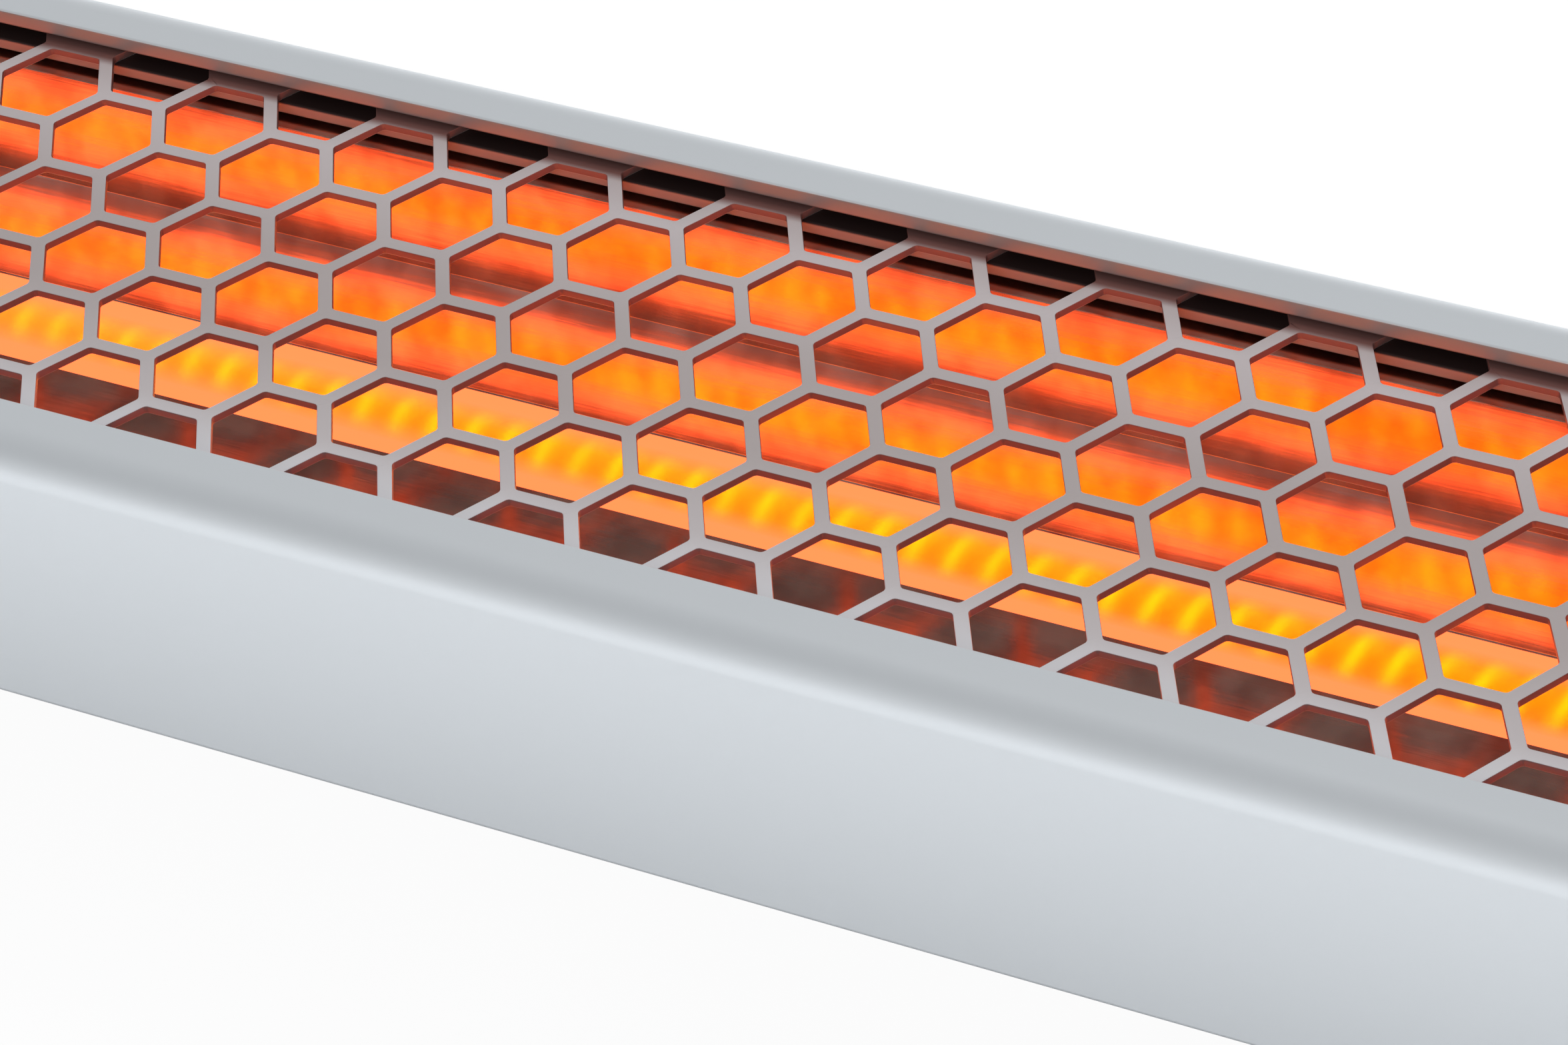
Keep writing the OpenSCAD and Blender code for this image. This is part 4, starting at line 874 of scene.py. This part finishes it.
# Moulded white polyamide: a warm white with a dull grain.
white_block = moulded("moulded_white_polyamide", "E6E4DC", roughness=0.5)
# Turned brass: yellow, with a soft shine.
brass = plate_metal("turned_brass", "C49F57", "CDA75C", roughness=0.32)
for node, width, made in (("terminal_block", 0.3, white_block), ("terminal_screws", 0.1, brass),
                          ("earth_screw", 0.2, brass), ("block_screw", 0.15, zinc)):
    fit(soften(node, width), made, node)
# Extruded silicone: a soft, slightly greasy gloss in each core's own colour.
for core, colour in (("live", "5A3220"), ("neutral", "2A4E8C"), ("earth", "3C8030")):
    silicone = moulded("silicone_lead_" + core, colour, roughness=0.42)
    fit(soften("lead_" + core, 0.05, segments=1, sharp_degrees=60), silicone, "lead_" + core)

# ---- Cable gland ----
# A body moulded in nylon passes the left end cap, with a locknut behind it. Its domed cap screws
# on and squeezes a rubber seal on the cable.

# Moulded black nylon: nearly black, with a broad, dull shine on its corners.
nylon = moulded("moulded_black_nylon", "222222", roughness=0.45)
# The CAD's cap and flange are cut back to turned outlines: a dome and a chamfer.
gland_seat_x, gland_y, gland_z = -340, 30, 82
gland_sides = 72
cap_dome = turned([(0, 5), (12.0, 5), (12.8, 6.2), (12.8, 8.5), (12.5, 10.5), (11.8, 12.6), (10.6, 14.4),
                   (9.2, 15.7), (0, 15.7)], gland_sides)
flange_chamfer = turned([(0, -20), (12.8, -20), (12.8, 3.9), (12.0, 5.01), (9.1, 5.02), (9.1, 14), (0, 14)],
                        gland_sides)
for outside in (cap_dome, flange_chamfer):
    outside.transform(at(gland_seat_x, gland_y, gland_z, "-x"))
fit(soften("gland_cap", 0.35, sharp_degrees=50, outside=cap_dome), nylon, "gland_cap")
fit(soften("gland_body", 0.25, sharp_degrees=50, outside=flange_chamfer), nylon, "gland_body")
fit(soften("gland_locknut", 0.4), nylon, "gland_locknut")
fit(soften("gland_seal", 0.2), rubber, "gland_seal")

# ---- Arms and feet ----
# Sheet steel, blanked, pierced and folded. Tumbling rolls its cut edges over before the coat goes
# on, and plated screws and nuts hold the arms to the casing.

# Grey coat on sheet steel, sprayed and stoved: darker than the casing, with an even fine grain.
bracket_coat = satin_metal("grey_coated_sheet_steel", "B9BBBE", metallic=0.5, roughness=0.45, grain_mm=0.45,
                           bump=0.08)
for end in ("left", "right"):
    fit(soften("foot_" + end, 0.5, segments=3), bracket_coat, "foot_" + end)
    fit(soften("arm_" + end, 0.5, segments=3), bracket_coat, "arm_" + end)

arm_gap_x, arm_gap_y, arm_seat_z = 420, 42, 47.5
pan_screw = turned([(0, -7.6), (2.2, -7.6), (2.5, -7.3), (2.5, 0), (4.6, 0), (4.6, 1.0), (4.2, 2.0),
                    (3.2, 2.7), (1.6, 2.8), (1.5, 1.1), (0, 1.0)])
fit(grid_of("arm_screws_shaped", pan_screw, 2, 2, arm_gap_x, arm_gap_y, zinc, [at(0, 0, arm_seat_z, "-z")]),
    zinc, "arm_screws")
fit(soften("arm_nuts", 0.2), zinc, "arm_nuts")

# ---- Pivot bolts and washers ----
# A round-headed bolt of plated steel passes each foot and arm. Washers cut from nylon between the
# sheets let the heater tilt and keep the coat whole.

pivot_z, bolt_seat_x = 30, 190
carriage_bolt = turned([(0, -42.2), (2.6, -42.2), (3, -41.8), (3, 0), (6.3, 0), (6.3, 0.5), (5.7, 1.7),
                        (4.4, 2.6), (2.4, 3.1), (0, 3.2)])
bolts = joined("pivot_bolts", [(carriage_bolt, at(-bolt_seat_x, 0, pivot_z, "+x")),
                               (carriage_bolt, at(bolt_seat_x, 0, pivot_z, "-x"))])
fit(shaded(link_new("pivot_bolts_shaped", bolts)), zinc, "pivot_bolts")

# Cut nylon: black and even, a little duller than the moulded knobs.
washer_nylon = moulded("cut_nylon_washer", "262626", roughness=0.5)
fit(soften("pivot_washers", 0.15), washer_nylon, "pivot_washers")

# ---- Lock knobs ----
# Black nylon grips with six soft lobes and a dished face. Each is moulded round the brass insert
# that screws on its bolt.

# Moulded black nylon with a deeper grain, for grip: it takes the shine off the lobes.
knob_nylon = moulded("fine_grained_black_nylon", "1E1E1E", roughness=0.48, grain_mm=0.35, bump=0.2)
knob_seat_x = 233.3
root_r, lobe_r, lobes = 14.3, 2.7, 6
grip_sides = 96
face_share, smooth_share, lobe_power = 0.75, 0.6, 0.8


def lobed(share, a):
    """The grip's radius at an angle, for a share of its full size. The lobes fade on its face."""
    lobe = 0.5 + 0.5 * math.cos(lobes * a)
    if share > face_share:
        return (root_r + lobe_r * lobe ** lobe_power) * share
    return root_r * share + lobe_r * lobe * max(0, share - smooth_share)


# The grip's profile is in shares of its radius and in millimetres of height.
grip = turned([(0, 0), (0.30, 0), (0.90, 0), (0.95, 0.4), (0.985, 1.2), (1.0, 2.5), (1.0, 10.5),
               (0.985, 11.8), (0.95, 12.6), (0.89, 13.0), (0.80, 12.9), (0.70, 12.2), (0.50, 11.9),
               (0, 11.8)], grip_sides, lobed)
collar = turned([(5, -3.0), (7.2, -3.0), (7.5, -2.7), (7.5, 0.2), (5, 0.2), (5, -3.0)])
turn_outwards(collar, merge_mm=0.0001)
for end, seat in (("left", at(-knob_seat_x, 0, pivot_z, "-x")), ("right", at(knob_seat_x, 0, pivot_z, "+x"))):
    node = "lock_knob_" + end
    knob = link_new(node + "_shaped", joined(node, [(grip, seat), (collar, seat)]))
    fit(shaded(knob, sharp_degrees=40), knob_nylon, node)
    fit(soften("knob_insert_" + end, 0.2), brass, "knob_insert_" + end)
